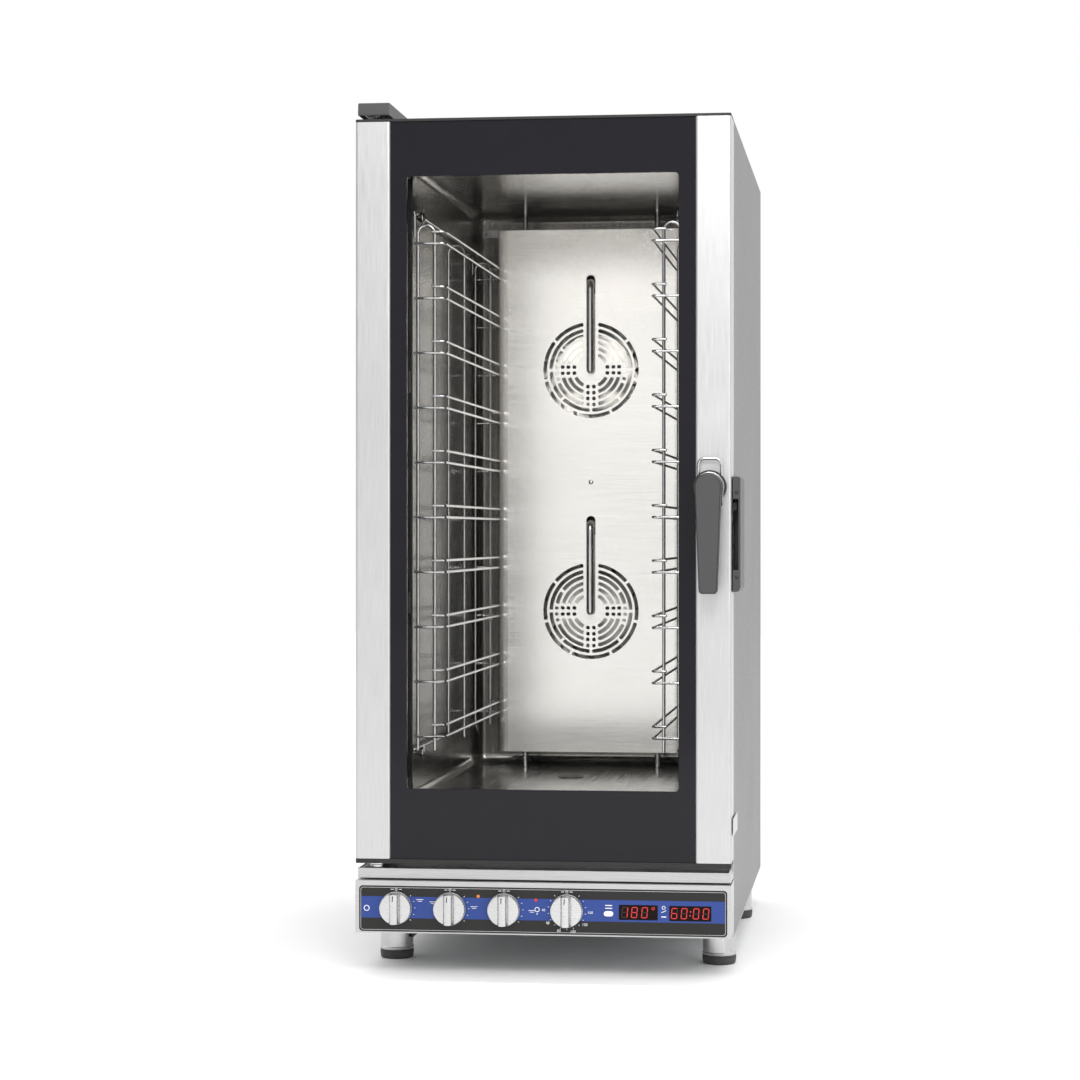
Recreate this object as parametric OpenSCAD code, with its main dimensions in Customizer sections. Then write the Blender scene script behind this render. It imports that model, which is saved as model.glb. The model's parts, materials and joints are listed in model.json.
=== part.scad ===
// Ten-level combi steamer oven with a left-hinged glass door.
// Millimetres, +Z up, front of the oven towards -Y.
// Inside the modules Y counts from the front plane of the door.

/* [Cabinet] */
// Width over the side panels
body_w = 540; // [520:5:600]
// Height of the top panel above the floor
body_h = 1230; // [1225:1:1300]
// Depth from the door front to the back panel
body_d = 850; // [820:5:950]
// Height of the base above the floor
leg_h = 55; // [45:1:60]
// Thickness of the outer sheets
sheet = 1.5; // [1:0.1:2]

/* [Door] */
// Thickness of the door
door_t = 58; // [56:1:60]
// Width of the side stiles
stile_w = 50.5; // [46:0.5:54]
// Underside of the door above the floor
door_bottom = 162; // [160:0.5:164]
// Hinge axis from the left edge of the door
hinge_inset = 27.3; // [26:0.1:28]
// Hinge axis behind the front of the door
hinge_back = 30; // [29:0.5:31]

/* [Cavity] */
// Inside width of the cavity
cavity_w = 410; // [400:2:416]
// Floor of the cavity
cavity_floor = 245; // [240:1:248]
// Ceiling of the cavity
cavity_top = 1176; // [1170:1:1180]
// Rear wall of the cavity behind the door front
cavity_back = 700; // [695:1:705]
// Front face of the fan baffle
baffle_y = 611; // [609:1:614]

/* [Racks] */
// Number of tray levels
levels = 10; // [4:1:10]
// Height between two tray levels
pitch = 80; // [80:1:82]
// Height of the top guide wire
top_rail_z = 1076; // [1072:1:1080]
// Height between the guide wire and the carrying wire
guide_gap = 17; // [15:0.5:18]
// Clear width between the left and the right rack
rail_gap = 300; // [296:1:304]

/* [Fans] */
// Height of the upper fan axis
upper_fan_z = 907; // [900:1:910]
// Height of the lower fan axis
lower_fan_z = 506.5; // [500:0.5:510]
// Radius of the fan wheel
wheel_r = 105; // [90:1:108]

/* [Controls] */
// Underside of the control box
panel_bottom = 62.6; // [60:0.1:64]
// Top of the control box
panel_top = 137.3; // [136:0.1:138]
// Diameter of the knobs
knob_d = 46.4; // [40:0.2:48]

/* [Handle] */
// Sideways place of the lever axis
lever_x = 240.5; // [240:0.5:241]
// Height of the lever axis
lever_z = 701; // [700:0.5:702]

/* [Hidden] */
$fn = 48;

// The origin is under the middle of the whole oven, from the handle to the rear fittings.
front_y = -410;
half_w = body_w / 2;
frame_y = door_t + 8;
shell_y = frame_y + 2;
cavity_half = cavity_w / 2;
wool = 40;
stile_x = half_w - stile_w;
edge_r = 3.5;
hinge_edge_r = 25;
cap_bottom_h = 6.5;
cap_top_h = 4;
glass_y = 3;
hinge_x = -half_w + hinge_inset;
hinge_pin_r = 5;
lower_pin_r = 6;
running_gap = 0.05;
stile_bottom = door_bottom + cap_bottom_h;
stile_top = body_h - cap_top_h;
foot_x = 242;
foot_ys = [171.6, 629];
foot_r = 25.2;
pad_h = 13;
knob_xs = [-210.4, -132.3, -54.1, 36.2];
knob_z = 98.9;
foil = 0.5;
display_1 = [110.5, 166, 86.8, 108.4];
display_2 = [182.3, 242, 86.3, 108];
lamp_spots = [[-8.5, 112.7], [-91.5, 116.9]];
button_at = [95.9, 95.4];
button_size = [13.6, 7.6];
shaft_r = 6;
shaft_end_y = 772;
tube_r = 6.5;
tube_bend = 12;
tube_front_y = baffle_y - 8.6;
tube_rise = 146;
post_x = 110.5;
wire_r = 2;
upright_r = 2.5;
weld_gap = 0.1;
rail_x = rail_gap / 2 + wire_r;
inner_upright_x = 168;
outer_upright_x = 193;
bar_x = outer_upright_x + 2 * upright_r + weld_gap;
drop_x = outer_upright_x + upright_r + wire_r + weld_gap;
rack_front = 76;
rack_back = 603;
rack_bottom = 317;
rack_top = 1086;
neck_r = 3;
stud_head_r = 10;
stud_head_x = [cavity_half - 19, cavity_half - 8];
stud_rim = 2;
stud_zs = [1099, 313.6];
stud_ys = [90, 588];
gutter_y = 12;
gutter_z = [139.3, 153.8];
keeper_gap = 1.5;
vent_at = [150, 658];
vent_r = 25;
drain_at = [-14, 455];
drain_r = 16;
drain_z = 108;
outlet_l = 26;
corner_r = 15;
baffle_x = 157.8;
baffle_z = [272.2, 1140.6];
baffle_screw_z = 720.7;
inlet_at = [200, 120];
inlet_r = 13.2;
gland_at = [-200, 110];
manifold_x = 150;
manifold_y = 770;

// ---------- helpers ----------
module at_front() { translate([0, front_y, 0]) children(); }

module block(x, y, z) {
    translate([x[0], y[0], z[0]]) cube([x[1] - x[0], y[1] - y[0], z[1] - z[0]]);
}

module rod_x(x, y, z, r) { translate([x[0], y, z]) rotate([0, 90, 0]) cylinder(r = r, h = x[1] - x[0]); }

module rod_y(x, y, z, r) { translate([x, y[1], z]) rotate([90, 0, 0]) cylinder(r = r, h = y[1] - y[0]); }

module rod_z(x, y, z, r) { translate([x, y, z[0]]) cylinder(r = r, h = z[1] - z[0]); }

// Extrudes an X-Z outline from y[0] to y[1]
module along_y(y) { translate([0, y[1], 0]) rotate([90, 0, 0]) linear_extrude(y[1] - y[0]) children(); }

// Extrudes a Y-Z outline from x[0] to x[1]
module along_x(x) { translate([x[0], 0, 0]) rotate([90, 0, 90]) linear_extrude(x[1] - x[0]) children(); }

function arc(cx, cy, r, from, to, n = 6) =
    [for (i = [0:n]) let (a = from + (to - from) * i / n) [cx + r * cos(a), cy + r * sin(a)]];

// Rectangle between x[0], x[1] and z[0], z[1] with round corners
function round_rect(x, z, r) = concat(
    arc(x[1] - r, z[0] + r, r, -90, 0), arc(x[1] - r, z[1] - r, r, 0, 90),
    arc(x[0] + r, z[1] - r, r, 90, 180), arc(x[0] + r, z[0] + r, r, 180, 270));

module round_plate(x, y, z, r) { along_y(y) polygon(round_rect(x, z, r)); }

// Capsule shape along X in the X-Z plane
module capsule(cx, cz, length, width, y) {
    r = width / 2;
    h = length / 2 - r;
    along_y(y) polygon(concat(arc(cx + h, cz, r, -90, 90, 12), arc(cx - h, cz, r, 90, 270, 12)));
}

module both_sides() { children(); mirror([1, 0, 0]) children(); }

// ---------- cabinet ----------
module side_panel() {
    block([half_w - sheet, half_w], [shell_y, body_d - sheet], [leg_h + 2, body_h - sheet]);
    block([half_w - 16, half_w - sheet], [shell_y, shell_y + sheet], [leg_h + 2, body_h - sheet]);
    block([half_w - 16, half_w - sheet], [body_d - 2 * sheet, body_d - sheet], [leg_h + 2, body_h - sheet]);
}

module left_side_panel() color("silver") at_front() mirror([1, 0, 0]) side_panel();

module right_side_panel() color("silver") at_front() side_panel();

module top_panel() color("silver") at_front() difference() {
    block([-half_w, half_w], [frame_y, body_d], [body_h - sheet, body_h]);
    rod_z(vent_at[0], vent_at[1], [body_h - 5, body_h + 1], vent_r);
}

module back_panel() color("silver") at_front() difference() {
    block([-half_w, half_w], [body_d - sheet, body_d], [leg_h + 2, body_h - sheet]);
    for (rows = [[300:16:540], [860:16:1040]], z = rows, x = [-130, 60])
        block([x, x + 70], [body_d - 5, body_d + 5], [z, z + 6]);
    rod_y(drain_at[0], [body_d - 5, body_d + 5], drain_z, drain_r - 1);
    rod_y(inlet_at[0], [body_d - 5, body_d + 5], inlet_at[1], inlet_r - 1);
    rod_y(gland_at[0], [body_d - 5, body_d + 5], gland_at[1], 12);
}

module base_panel() color("gray") at_front() difference() {
    block([-half_w, half_w], [frame_y, body_d], [leg_h, leg_h + 2]);
    for (x = [-170:40:150]) block([x, x + 24], [520, 526], [leg_h - 5, leg_h + 5]);
}

module front_frame() color("silver") at_front() difference() {
    block([-half_w, half_w], [frame_y, shell_y], [leg_h + 2, body_h - sheet]);
    round_plate([-cavity_half, cavity_half], [frame_y - 5, shell_y + 5],
        [cavity_floor, cavity_top], corner_r);
    block([-240, 240], [frame_y - 5, shell_y + 5], [panel_bottom + 8, panel_top - 8]);
}

module cavity_shell() color("lightgray") at_front() difference() {
    round_plate([-cavity_half - sheet, cavity_half + sheet], [shell_y, cavity_back + sheet],
        [cavity_floor - sheet, cavity_top + sheet], corner_r + sheet);
    round_plate([-cavity_half, cavity_half], [shell_y - 1, cavity_back],
        [cavity_floor, cavity_top], corner_r);
    rear_passages(0);
    rod_z(vent_at[0], vent_at[1], [cavity_top - 5, cavity_top + 5], vent_r - 3);
    rod_z(drain_at[0], drain_at[1], [cavity_floor - 5, cavity_floor + 5], drain_r - 2);
}

// Holes for the fan shafts, the steam tubes and the heater tails
module rear_passages(extra) {
    y = [cavity_back - 5, 760];
    for (z = [upper_fan_z, lower_fan_z]) {
        rod_y(0, y, z, 8 + extra);
        rod_y(0, y, z + tube_rise, tube_r + extra);
        for (s = [-1, 1]) rod_y(s * heater_tail_x, y, z - heater_tail_drop, 5.5 + extra);
    }
}

module insulation() color("khaki") at_front() difference() {
    block([-cavity_half - sheet - wool, cavity_half + sheet + wool], [shell_y + 2, cavity_back + sheet + wool],
        [cavity_floor - sheet - wool, cavity_top + sheet + wool]);
    round_plate([-cavity_half - sheet, cavity_half + sheet], [shell_y - 1, cavity_back + sheet],
        [cavity_floor - sheet, cavity_top + sheet], corner_r + sheet);
    rear_passages(3);
    rod_z(vent_at[0], vent_at[1], [cavity_top - 5, body_h], vent_r + 1);
    rod_z(drain_at[0], drain_at[1], [100, cavity_floor + 5], drain_r + 1);
}

module motor_plate() color("gray") at_front() difference() {
    block([-200, 200], [cavity_back + sheet + wool, cavity_back + sheet + wool + 2], [320, 1120]);
    rear_passages(3);
}

module drip_gutter() color("gainsboro") at_front() {
    outline = [[half_w - 1, gutter_z[0]], [half_w - 1, gutter_z[1] - 5], [half_w - 4, gutter_z[1]],
        [1 - half_w, gutter_z[1]], [1 - half_w, gutter_z[0]]];
    difference() {
        along_y([gutter_y, frame_y]) polygon(outline);
        block([3 - half_w, half_w - 6], [gutter_y + sheet, frame_y - sheet], [gutter_z[0] + sheet, 160]);
    }
}

// Curved spout under the base that empties the gutter beside the front left foot
module gutter_drain() color("dimgray") at_front() {
    along_y([foot_ys[0] - 12, foot_ys[0] + 12]) polygon(concat(
        [[1 - foot_x + foot_r, leg_h], [1 - foot_x + foot_r, 31]],
        arc(-182, 20, 35, 160, 92, 8), [[-181, leg_h]]));
}

module foot_tubes() color("lightgray") at_front()
    for (x = [-foot_x, foot_x], y = foot_ys) {
        rod_z(x, y, [pad_h, leg_h], foot_r);
    }

module foot_pads() color("#2a2a2a") at_front()
    for (x = [-foot_x, foot_x], y = foot_ys) {
        translate([x, y, 0]) cylinder(r1 = foot_r - 2, r2 = foot_r, h = 3);
        rod_z(x, y, [3, pad_h], foot_r);
    }

// ---------- controls ----------
module panel_cutouts() {
    for (x = knob_xs) rod_y(x, [-5, 5], knob_z, 5);
    for (d = [display_1, display_2]) block([d[0], d[1]], [-5, 5], [d[2], d[3]]);
    for (p = lamp_spots) rod_y(p[0], [-5, 5], p[1], 2.6);
    capsule(button_at[0], button_at[1], button_size[0] + 1, button_size[1] + 1, [-5, 5]);
}

module control_box() color("silver") at_front() difference() {
    block([-half_w, half_w], [0, frame_y], [panel_bottom, panel_top]);
    block([sheet - half_w, half_w - sheet], [sheet, frame_y + 1], [panel_bottom + sheet, panel_top - sheet]);
    panel_cutouts();
}

module control_membrane() color("#333230") at_front() difference() {
    round_plate([-264.5, 264.5], [-foil, 0], [64.6, 130.2], 5);
    panel_cutouts();
}

module display_windows() color("#200608") at_front()
    for (d = [display_1, display_2]) block([d[0], d[1]], [-foil, 3], [d[2], d[3]]);

module indicator_lamps() color("red") at_front()
    for (p = lamp_spots) {
        rod_y(p[0], [-1, 9], p[1], 2.5);
        rod_y(p[0], [-1.8, -1], p[1], 1.9);
    }

module push_button() color("white") at_front()
    capsule(button_at[0], button_at[1], button_size[0], button_size[1], [-2.6, 6]);

// Round knob with a raised finger bar, and its shaft
module knob(x) color("silver") at_front() {
    rod_y(x, [-12, -1], knob_z, knob_d / 2);
    intersection() {
        rod_y(x, [-25, -11], knob_z, knob_d / 2 - 0.6);
        block([x - 7.8, x + 7.8], [-25, -11], [knob_z - knob_d, knob_z + knob_d]);
    }
    rod_y(x, [-2, 14], knob_z, 3);
}

module knob_1() knob(knob_xs[0]);

module knob_2() knob(knob_xs[1]);

module knob_3() knob(knob_xs[2]);

module knob_4() knob(knob_xs[3]);

module rotary_switches() color("#303030") at_front()
    for (x = knob_xs) difference() {
        rod_y(x, [sheet, 24], knob_z, 14);
        rod_y(x, [0, 16], knob_z, 3 + running_gap);
    }

module control_board() color("darkgreen") at_front() {
    block([70, 258], [30, 31.6], [70, 130]);
    block([-24, 8], [30, 31.6], [70, 130]);
    for (d = [display_1, display_2]) block([d[0], d[1]], [3.2, 29.8], [d[2], d[3]]);
    block([button_at[0] - 2.5, button_at[0] + 2.5], [7.6, 29.8], [button_at[1] - 2.5, button_at[1] + 2.5]);
}

// ---------- cavity fittings ----------
grille_rings = [28, 38, 47.5, 57.5, 66.5, 76.6];
slot_w = 6;
rib_w = 3.2;
rib_spread = 10;
baffle_cut = [baffle_y - 2, baffle_y + 5];
// A bar of the fan grille that runs out from the hub
module radial_rib(turn, z, shift = 0) translate([0, 0, z]) rotate([0, turn, 0])
    block([0, 90], [baffle_cut[0] - 1, baffle_cut[1] + 1], [shift - rib_w / 2, shift + rib_w / 2]);

// One ring slot of the fan grille, interrupted by ribs and by the strip behind the steam tube
module ring_slot(i, z) {
    r = grille_rings[i];
    difference() {
        rod_y(0, baffle_cut, z, r + slot_w / 2);
        rod_y(0, [baffle_cut[0] - 1, baffle_cut[1] + 1], z, r - slot_w / 2);
        block([-12, 12], [baffle_cut[0] - 1, baffle_cut[1] + 1], [z, z + 90]);
        if (i == 5) for (n = [1:6]) radial_rib(n * 360 / 7 - 90, z);
        else if (i == 4) for (turn = [0, 45, 90, 135, 180]) radial_rib(turn, z);
        else if (i == 3) for (turn = [20, 160, 215, 325]) radial_rib(turn, z);
        if (i < 4) for (turn = [0, 90, 180], shift = [-rib_spread, 0, rib_spread]) radial_rib(turn, z, shift);
    }
}

module fan_baffle() color("lightgray") at_front() difference() {
    union() {
        round_plate([-baffle_x, baffle_x], [baffle_y, baffle_y + sheet], baffle_z, 8);
        both_sides() block([baffle_x - sheet, baffle_x], [baffle_y + 1, baffle_y + 22],
            [baffle_z[0] + 13, baffle_z[1] - 13]);
    }
    for (z = [upper_fan_z, lower_fan_z]) {
        for (i = [0:5]) ring_slot(i, z);
        rod_y(0, baffle_cut, z + tube_rise + 4.5, 7.5);
        translate([0, 0, z + tube_rise]) block([-7.5, 7.5], baffle_cut, [-19, 4.5]);
    }
    rod_y(0, baffle_cut, baffle_screw_z, 2.5);
}

module baffle_posts() color("silver") at_front() {
    both_sides() rod_z(post_x, baffle_y + sheet + 5.1, [cavity_floor, cavity_top], 5);
    difference() {
        rod_y(0, [baffle_y + sheet, cavity_back], baffle_screw_z, 6);
        rod_y(0, [baffle_y, baffle_y + 14], baffle_screw_z, 2.5);
    }
}

// Bent tube that comes through the rear wall, then runs down in front of the fan
module steam_tube(z) {
    y_bend = tube_front_y + tube_bend;
    rod_y(0, [y_bend, manifold_y - 7], z + tube_rise, tube_r);
    translate([0, y_bend, z + tube_rise - tube_bend]) rotate([90, 0, -90])
        rotate_extrude(angle = 90) translate([tube_bend, 0]) circle(r = tube_r);
    rod_z(0, tube_front_y, [z - 6.4, z + tube_rise - tube_bend], tube_r);
}

module steam_tubes() color("silver") at_front() {
    steam_tube(upper_fan_z);
    steam_tube(lower_fan_z);
}

module water_manifold() color("silver") at_front() {
    for (z = [upper_fan_z, lower_fan_z])
        rod_x([-8, manifold_x], manifold_y, z + tube_rise, 6.9);
    rod_z(manifold_x, manifold_y, [144, upper_fan_z + tube_rise + 9], 8);
    block([manifold_x - 10, 178], [manifold_y - 9, manifold_y + 9], [112, 144]);
}

blades = 18;
wheel_y = [640, 690];
hub_r = 16;
rim_w = 14;
// Radial fan wheel with its shaft
module fan_wheel(z) color("lightgray") at_front() {
    rod_y(0, [wheel_y[1] - 2, wheel_y[1]], z, wheel_r);
    rod_y(0, [wheel_y[0] + 15, wheel_y[1] - 1], z, hub_r);
    difference() {
        rod_y(0, [wheel_y[0], wheel_y[0] + 2], z, wheel_r);
        rod_y(0, [wheel_y[0] - 2, wheel_y[0] + 4], z, wheel_r - rim_w);
    }
    for (i = [0:blades - 1])
        translate([0, 0, z]) rotate([0, i * 360 / blades, 0])
            translate([wheel_r - 22, 0, 0]) rotate([0, 35, 0])
                block([-16, 16], [wheel_y[0] + 1, wheel_y[1] - 1], [-0.7, 0.7]);
    rod_y(0, [wheel_y[1] - 10, shaft_end_y], z, shaft_r);
}

module fan_wheel_upper() fan_wheel(upper_fan_z);

module fan_wheel_lower() fan_wheel(lower_fan_z);

motor_y = cavity_back + sheet + wool + 2;
// Flange, body and end cap of each motor, as [start, end, radius]
motor_steps = [[0, 8.5, 62], [7.5, 76.5, 56], [75.5, 88.5, 48]];
module fan_motors() color("#454545") at_front()
    for (z = [upper_fan_z, lower_fan_z]) difference() {
        for (m = motor_steps) rod_y(0, [motor_y + m[0], motor_y + m[1]], z, m[2]);
        rod_y(0, [motor_y - 3, shaft_end_y + 4], z, shaft_r + running_gap);
    }

heater_r = 130;
heater_tail_drop = 125;
heater_tail_x = sqrt(heater_r * heater_r - heater_tail_drop * heater_tail_drop);
heater_ys = [645, 660, 675];
heater_wire_r = 4.2;
module heating_elements() color("#6b6460") at_front()
    for (z = [upper_fan_z, lower_fan_z]) {
        for (y = heater_ys)
            translate([0, y, z]) rotate([90, 0, 0])
                rotate_extrude() translate([heater_r, 0]) circle(r = heater_wire_r);
        for (s = [-1, 1])
            rod_y(s * heater_tail_x, [heater_ys[0], 756], z - heater_tail_drop, heater_wire_r + 0.8);
    }

module rack_studs() color("silver") at_front()
    both_sides() for (z = stud_zs, y = stud_ys) {
        rod_x([stud_head_x[1], cavity_half], y, z, neck_r);
        rod_x([stud_head_x[0], stud_head_x[0] + stud_rim], y, z, stud_head_r);
        translate([stud_head_x[0] + stud_rim, y, z]) rotate([0, 90, 0])
            cylinder(h = stud_head_x[1] - stud_head_x[0] - stud_rim, r1 = stud_head_r, r2 = neck_r);
    }

// Two uprights joined by a bend at the top
module upright_pair(y) {
    bend_r = (outer_upright_x - inner_upright_x) / 2;
    for (x = [inner_upright_x, outer_upright_x]) rod_z(x, y, [rack_bottom, rack_top - bend_r], upright_r);
    translate([(inner_upright_x + outer_upright_x) / 2, y, rack_top - bend_r]) rotate([90, 0, 0])
        rotate_extrude(angle = 180) translate([bend_r, 0]) circle(r = upright_r);
}

// Bars that hang on the necks of the studs; the upper one stands on two short wires
module rack_hangers() {
    bar_zs = [for (z = stud_zs) z + neck_r + upright_r + 0.4];
    for (z = bar_zs) rod_y(bar_x, [rack_front - 4, rack_back + 4], z, upright_r);
    for (y = [rack_front, rack_back])
        rod_z(drop_x, y, [rack_top - 20, bar_zs[0] - upright_r - weld_gap], wire_r);
}

// One bent wire: two legs from x_leg and the rail between them, all at height z
module rail_wire(x_leg, z) {
    y0 = rack_front - upright_r - wire_r - weld_gap;
    y1 = rack_back + upright_r + wire_r + weld_gap;
    bend = 6;
    rod_y(rail_x, [y0 + bend, y1 - bend], z, wire_r);
    for (p = [[y0, bend, 180], [y1, -bend, 90]]) {
        rod_x([rail_x + bend, x_leg], p[0], z, wire_r);
        translate([rail_x + bend, p[0] + p[1], z]) rotate([0, 0, p[2]])
            rotate_extrude(angle = 90) translate([bend, 0]) circle(r = wire_r);
    }
}

module rack() {
    for (y = [rack_front, (rack_front + rack_back) / 2, rack_back]) upright_pair(y);
    rack_hangers();
    for (i = [0:levels - 1]) {
        rail_wire(inner_upright_x + 3, top_rail_z - i * pitch);
        rail_wire(outer_upright_x + 3, top_rail_z - guide_gap - i * pitch);
    }
}

module left_rack() color("silver") at_front() mirror([1, 0, 0]) rack();

module right_rack() color("silver") at_front() rack();

module drain_strainer() color("silver") at_front() difference() {
    rod_z(drain_at[0], drain_at[1], [cavity_floor, cavity_floor + 2], 20);
    for (x = [-9:6:9]) translate([drain_at[0], drain_at[1], 0])
        block([x - 1.5, x + 1.5], [-10, 10], [cavity_floor - 5, cavity_floor + 5]);
}

// ---------- services ----------
module drain_pipe() color("gray") at_front() {
    bend = 24;
    y0 = drain_at[1];
    pipe_r = drain_r - 1;
    difference() {
        union() {
            rod_z(drain_at[0], y0, [drain_z + bend, cavity_floor - sheet], pipe_r);
            translate([drain_at[0], y0 + bend, drain_z + bend]) rotate([90, 0, 90]) rotate([0, 0, 180])
                rotate_extrude(angle = 90) translate([bend, 0]) circle(r = pipe_r);
            rod_y(drain_at[0], [y0 + bend, body_d + 1], drain_z, pipe_r);
            rod_y(drain_at[0], [body_d, body_d + outlet_l], drain_z, drain_r);
        }
        rod_y(drain_at[0], [y0 + bend + 40, body_d + outlet_l + 4], drain_z, drain_r - 3);
        rod_z(drain_at[0], y0, [drain_z + bend + 10, cavity_floor + 5], drain_r - 3);
    }
}

module vent_pipe() color("silver") at_front() difference() {
    rod_z(vent_at[0], vent_at[1], [cavity_top + sheet, body_h + 22], vent_r);
    rod_z(vent_at[0], vent_at[1], [cavity_top, body_h + 30], vent_r - sheet);
}

module water_valve() color("#dcdcd2") at_front() {
    block([inlet_at[0] - 22, inlet_at[0] + 22], [745, 826], [inlet_at[1] - 20, inlet_at[1] + 24]);
    rod_y(inlet_at[0], [826, body_d + 1], inlet_at[1], inlet_r - 1);
    rod_y(inlet_at[0], [body_d, body_d + 16], inlet_at[1], inlet_r);
}

module cable_gland() color("#3a3a3a") at_front() difference() {
    union() {
        rod_y(gland_at[0], [836, body_d], gland_at[1], 12);
        translate([gland_at[0], body_d + 6, gland_at[1]]) rotate([90, 0, 0]) cylinder(r = 16, h = 6, $fn = 6);
        rod_y(gland_at[0], [body_d + 6, body_d + 16], gland_at[1], 13);
    }
    rod_y(gland_at[0], [830, body_d + 20], gland_at[1], 9);
}

// ---------- hinges and latch keeper ----------
module door_gasket() color("#1c1c1c") at_front() difference() {
    round_plate([-219, 219], [door_t + 0.4, frame_y], [230, 1192], 22);
    round_plate([-209, 209], [door_t - 1, frame_y + 1], [240, 1182], 14);
}

module hinge_brackets() color("silver") at_front() {
    difference() {
        union() {
            block([-262, -224], [14, 190], [body_h + 9, body_h + 15]);
            block([-262, -224], [90, 190], [body_h, body_h + 9]);
        }
        rod_z(hinge_x, hinge_back, [body_h, body_h + 20], hinge_pin_r);
    }
    difference() {
        block([-264, -222], [14, 62], [gutter_z[0] + sheet, gutter_z[1]]);
        rod_z(hinge_x, hinge_back, [130, 160], lower_pin_r);
    }
}

module hinge_cover() color("#3c3d40") at_front() difference() {
    along_x([-266.5, -221]) polygon([[1, body_h + 5.5], [0, body_h + 8.5], [2, body_h + 23], [5, body_h + 24],
        [198, body_h + 24], [200, body_h + 22], [200, body_h], [72, body_h], [72, body_h + 5.5]]);
    block([-264.5, -223], [3, 197], [body_h, body_h + 22]);
}

module hinge_pins() color("gray") at_front() {
    rod_z(hinge_x, hinge_back, [body_h - 20, body_h + 15], hinge_pin_r);
    rod_z(hinge_x, hinge_back, [body_h + 15, body_h + 18], 9);
    rod_z(hinge_x, hinge_back, [gutter_z[0] + sheet, door_bottom + 24], lower_pin_r);
    rod_z(hinge_x, hinge_back, [gutter_z[1], door_bottom - 0.5], 11.5);
}

keeper_x = [half_w + keeper_gap, half_w + 12.5];
keeper_z = [552, 716];
keeper_slot_z = [583.4, 684.3];
keeper_screw_zs = [573.5, 693.5];
module latch_keeper() color("#2f3032") at_front() difference() {
    union() {
        along_y([10, 112]) polygon(concat([[keeper_x[0], keeper_z[0]], [keeper_x[1] - 3, keeper_z[0] + 1]],
            [[keeper_x[1], keeper_z[0] + 6]],
            arc(keeper_x[1] - 4, keeper_z[1] - 4, 4, 0, 90), [[keeper_x[0], keeper_z[1]]]));
        block([half_w, keeper_x[0] + 1], [frame_y + 4, 112], [keeper_z[0] + 8, keeper_z[1] - 8]);
    }
    block([keeper_x[0] - 1, half_w + 9.6], [5, 60], keeper_slot_z);
    for (z = keeper_screw_zs) rod_y(half_w + 7.5, [5, 30], z, 1.6);
}

module screws() color("silver") at_front() {
    for (z = keeper_screw_zs) {
        rod_y(half_w + 7.5, [10, 28], z, 1.6);
        rod_y(half_w + 7.5, [8.8, 10], z, 2.6);
    }
    rod_y(0, [baffle_y, baffle_y + 14], baffle_screw_z, 2.5);
    rod_y(0, [baffle_y - 2, baffle_y], baffle_screw_z, 4);
}

// Bent tab on the right side that carries the door switch magnet
module door_tab() color("white") at_front() {
    block([half_w + keeper_gap, half_w + keeper_gap + 1.5], [12, 104], [206, 231]);
    block([half_w, half_w + keeper_gap], [74, 104], [206, 231]);
}

// ---------- door ----------
// Plan outline of a stile on the right side; the hinge side has a round rear corner
function stile_plan(rear_r, inset) = concat(
    arc(stile_x + edge_r, edge_r, edge_r - inset, 180, 270),
    arc(half_w - edge_r, edge_r, edge_r - inset, 270, 360),
    arc(half_w - rear_r, door_t - rear_r, rear_r - inset, 0, 90, 12),
    [[stile_x + inset, door_t - inset]]);

module stile(rear_r) {
    difference() {
        translate([0, 0, stile_bottom]) linear_extrude(stile_top - stile_bottom)
            polygon(stile_plan(rear_r, 0));
        translate([0, 0, stile_bottom - 1]) linear_extrude(stile_top - stile_bottom + 2)
            polygon(stile_plan(rear_r, 2));
    }
}

module door_stile_left() color("gainsboro") at_front() mirror([1, 0, 0]) stile(hinge_edge_r);

module door_stile_right() color("gainsboro") at_front() difference() {
    stile(edge_r);
    rod_y(lever_x, [-5, 5], lever_z, 9);
    block([half_w - 5, half_w + 5], [21, 33], [654, 684]);
    block([stile_x - 5, stile_x + 5], [21, 33], [646, 718]);
}

module cap(z0, z1, pin_r) difference() {
    translate([0, 0, z0]) linear_extrude(z1 - z0) polygon(concat(
        arc(half_w - edge_r, edge_r, edge_r, 270, 360),
        arc(half_w - edge_r, door_t - edge_r, edge_r, 0, 90),
        arc(hinge_edge_r - half_w, door_t - hinge_edge_r, hinge_edge_r, 90, 180, 12),
        arc(edge_r - half_w, edge_r, edge_r, 180, 270)));
    rod_z(hinge_x, hinge_back, [z0 - 1, z1 + 1], pin_r);
}

module door_caps() color("#1e1e20") at_front() {
    cap(stile_top, body_h, 8);
    cap(door_bottom, stile_bottom, 9);
}

module outer_glass() color("#2c2b31", 0.6) at_front()
    block([-stile_x, stile_x], [glass_y, glass_y + 5], [stile_bottom, stile_top]);

module inner_glass() color("lightblue", 0.4) at_front()
    block([-208, 208], [44, 49], [234, 1188]);

module door_inner_frame() color("silver") at_front() difference() {
    block([-stile_x, stile_x], [49, door_t], [stile_bottom, stile_top]);
    round_plate([-197, 197], [40, door_t + 5], [258, 1159], 12);
}

module glass_clips() color("#303030") at_front()
    both_sides() for (z = [250, 520, 840, 1150]) block([198, stile_x], [37, 44], [z, z + 30]);

module bush(z, neck, outer, bore, neck_r) difference() {
    union() {
        rod_z(hinge_x, hinge_back, z, outer);
        rod_z(hinge_x, hinge_back, neck, neck_r);
    }
    rod_z(hinge_x, hinge_back, [min(z[0], neck[0]) - 1, max(z[1], neck[1]) + 1], bore + running_gap);
}

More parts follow.
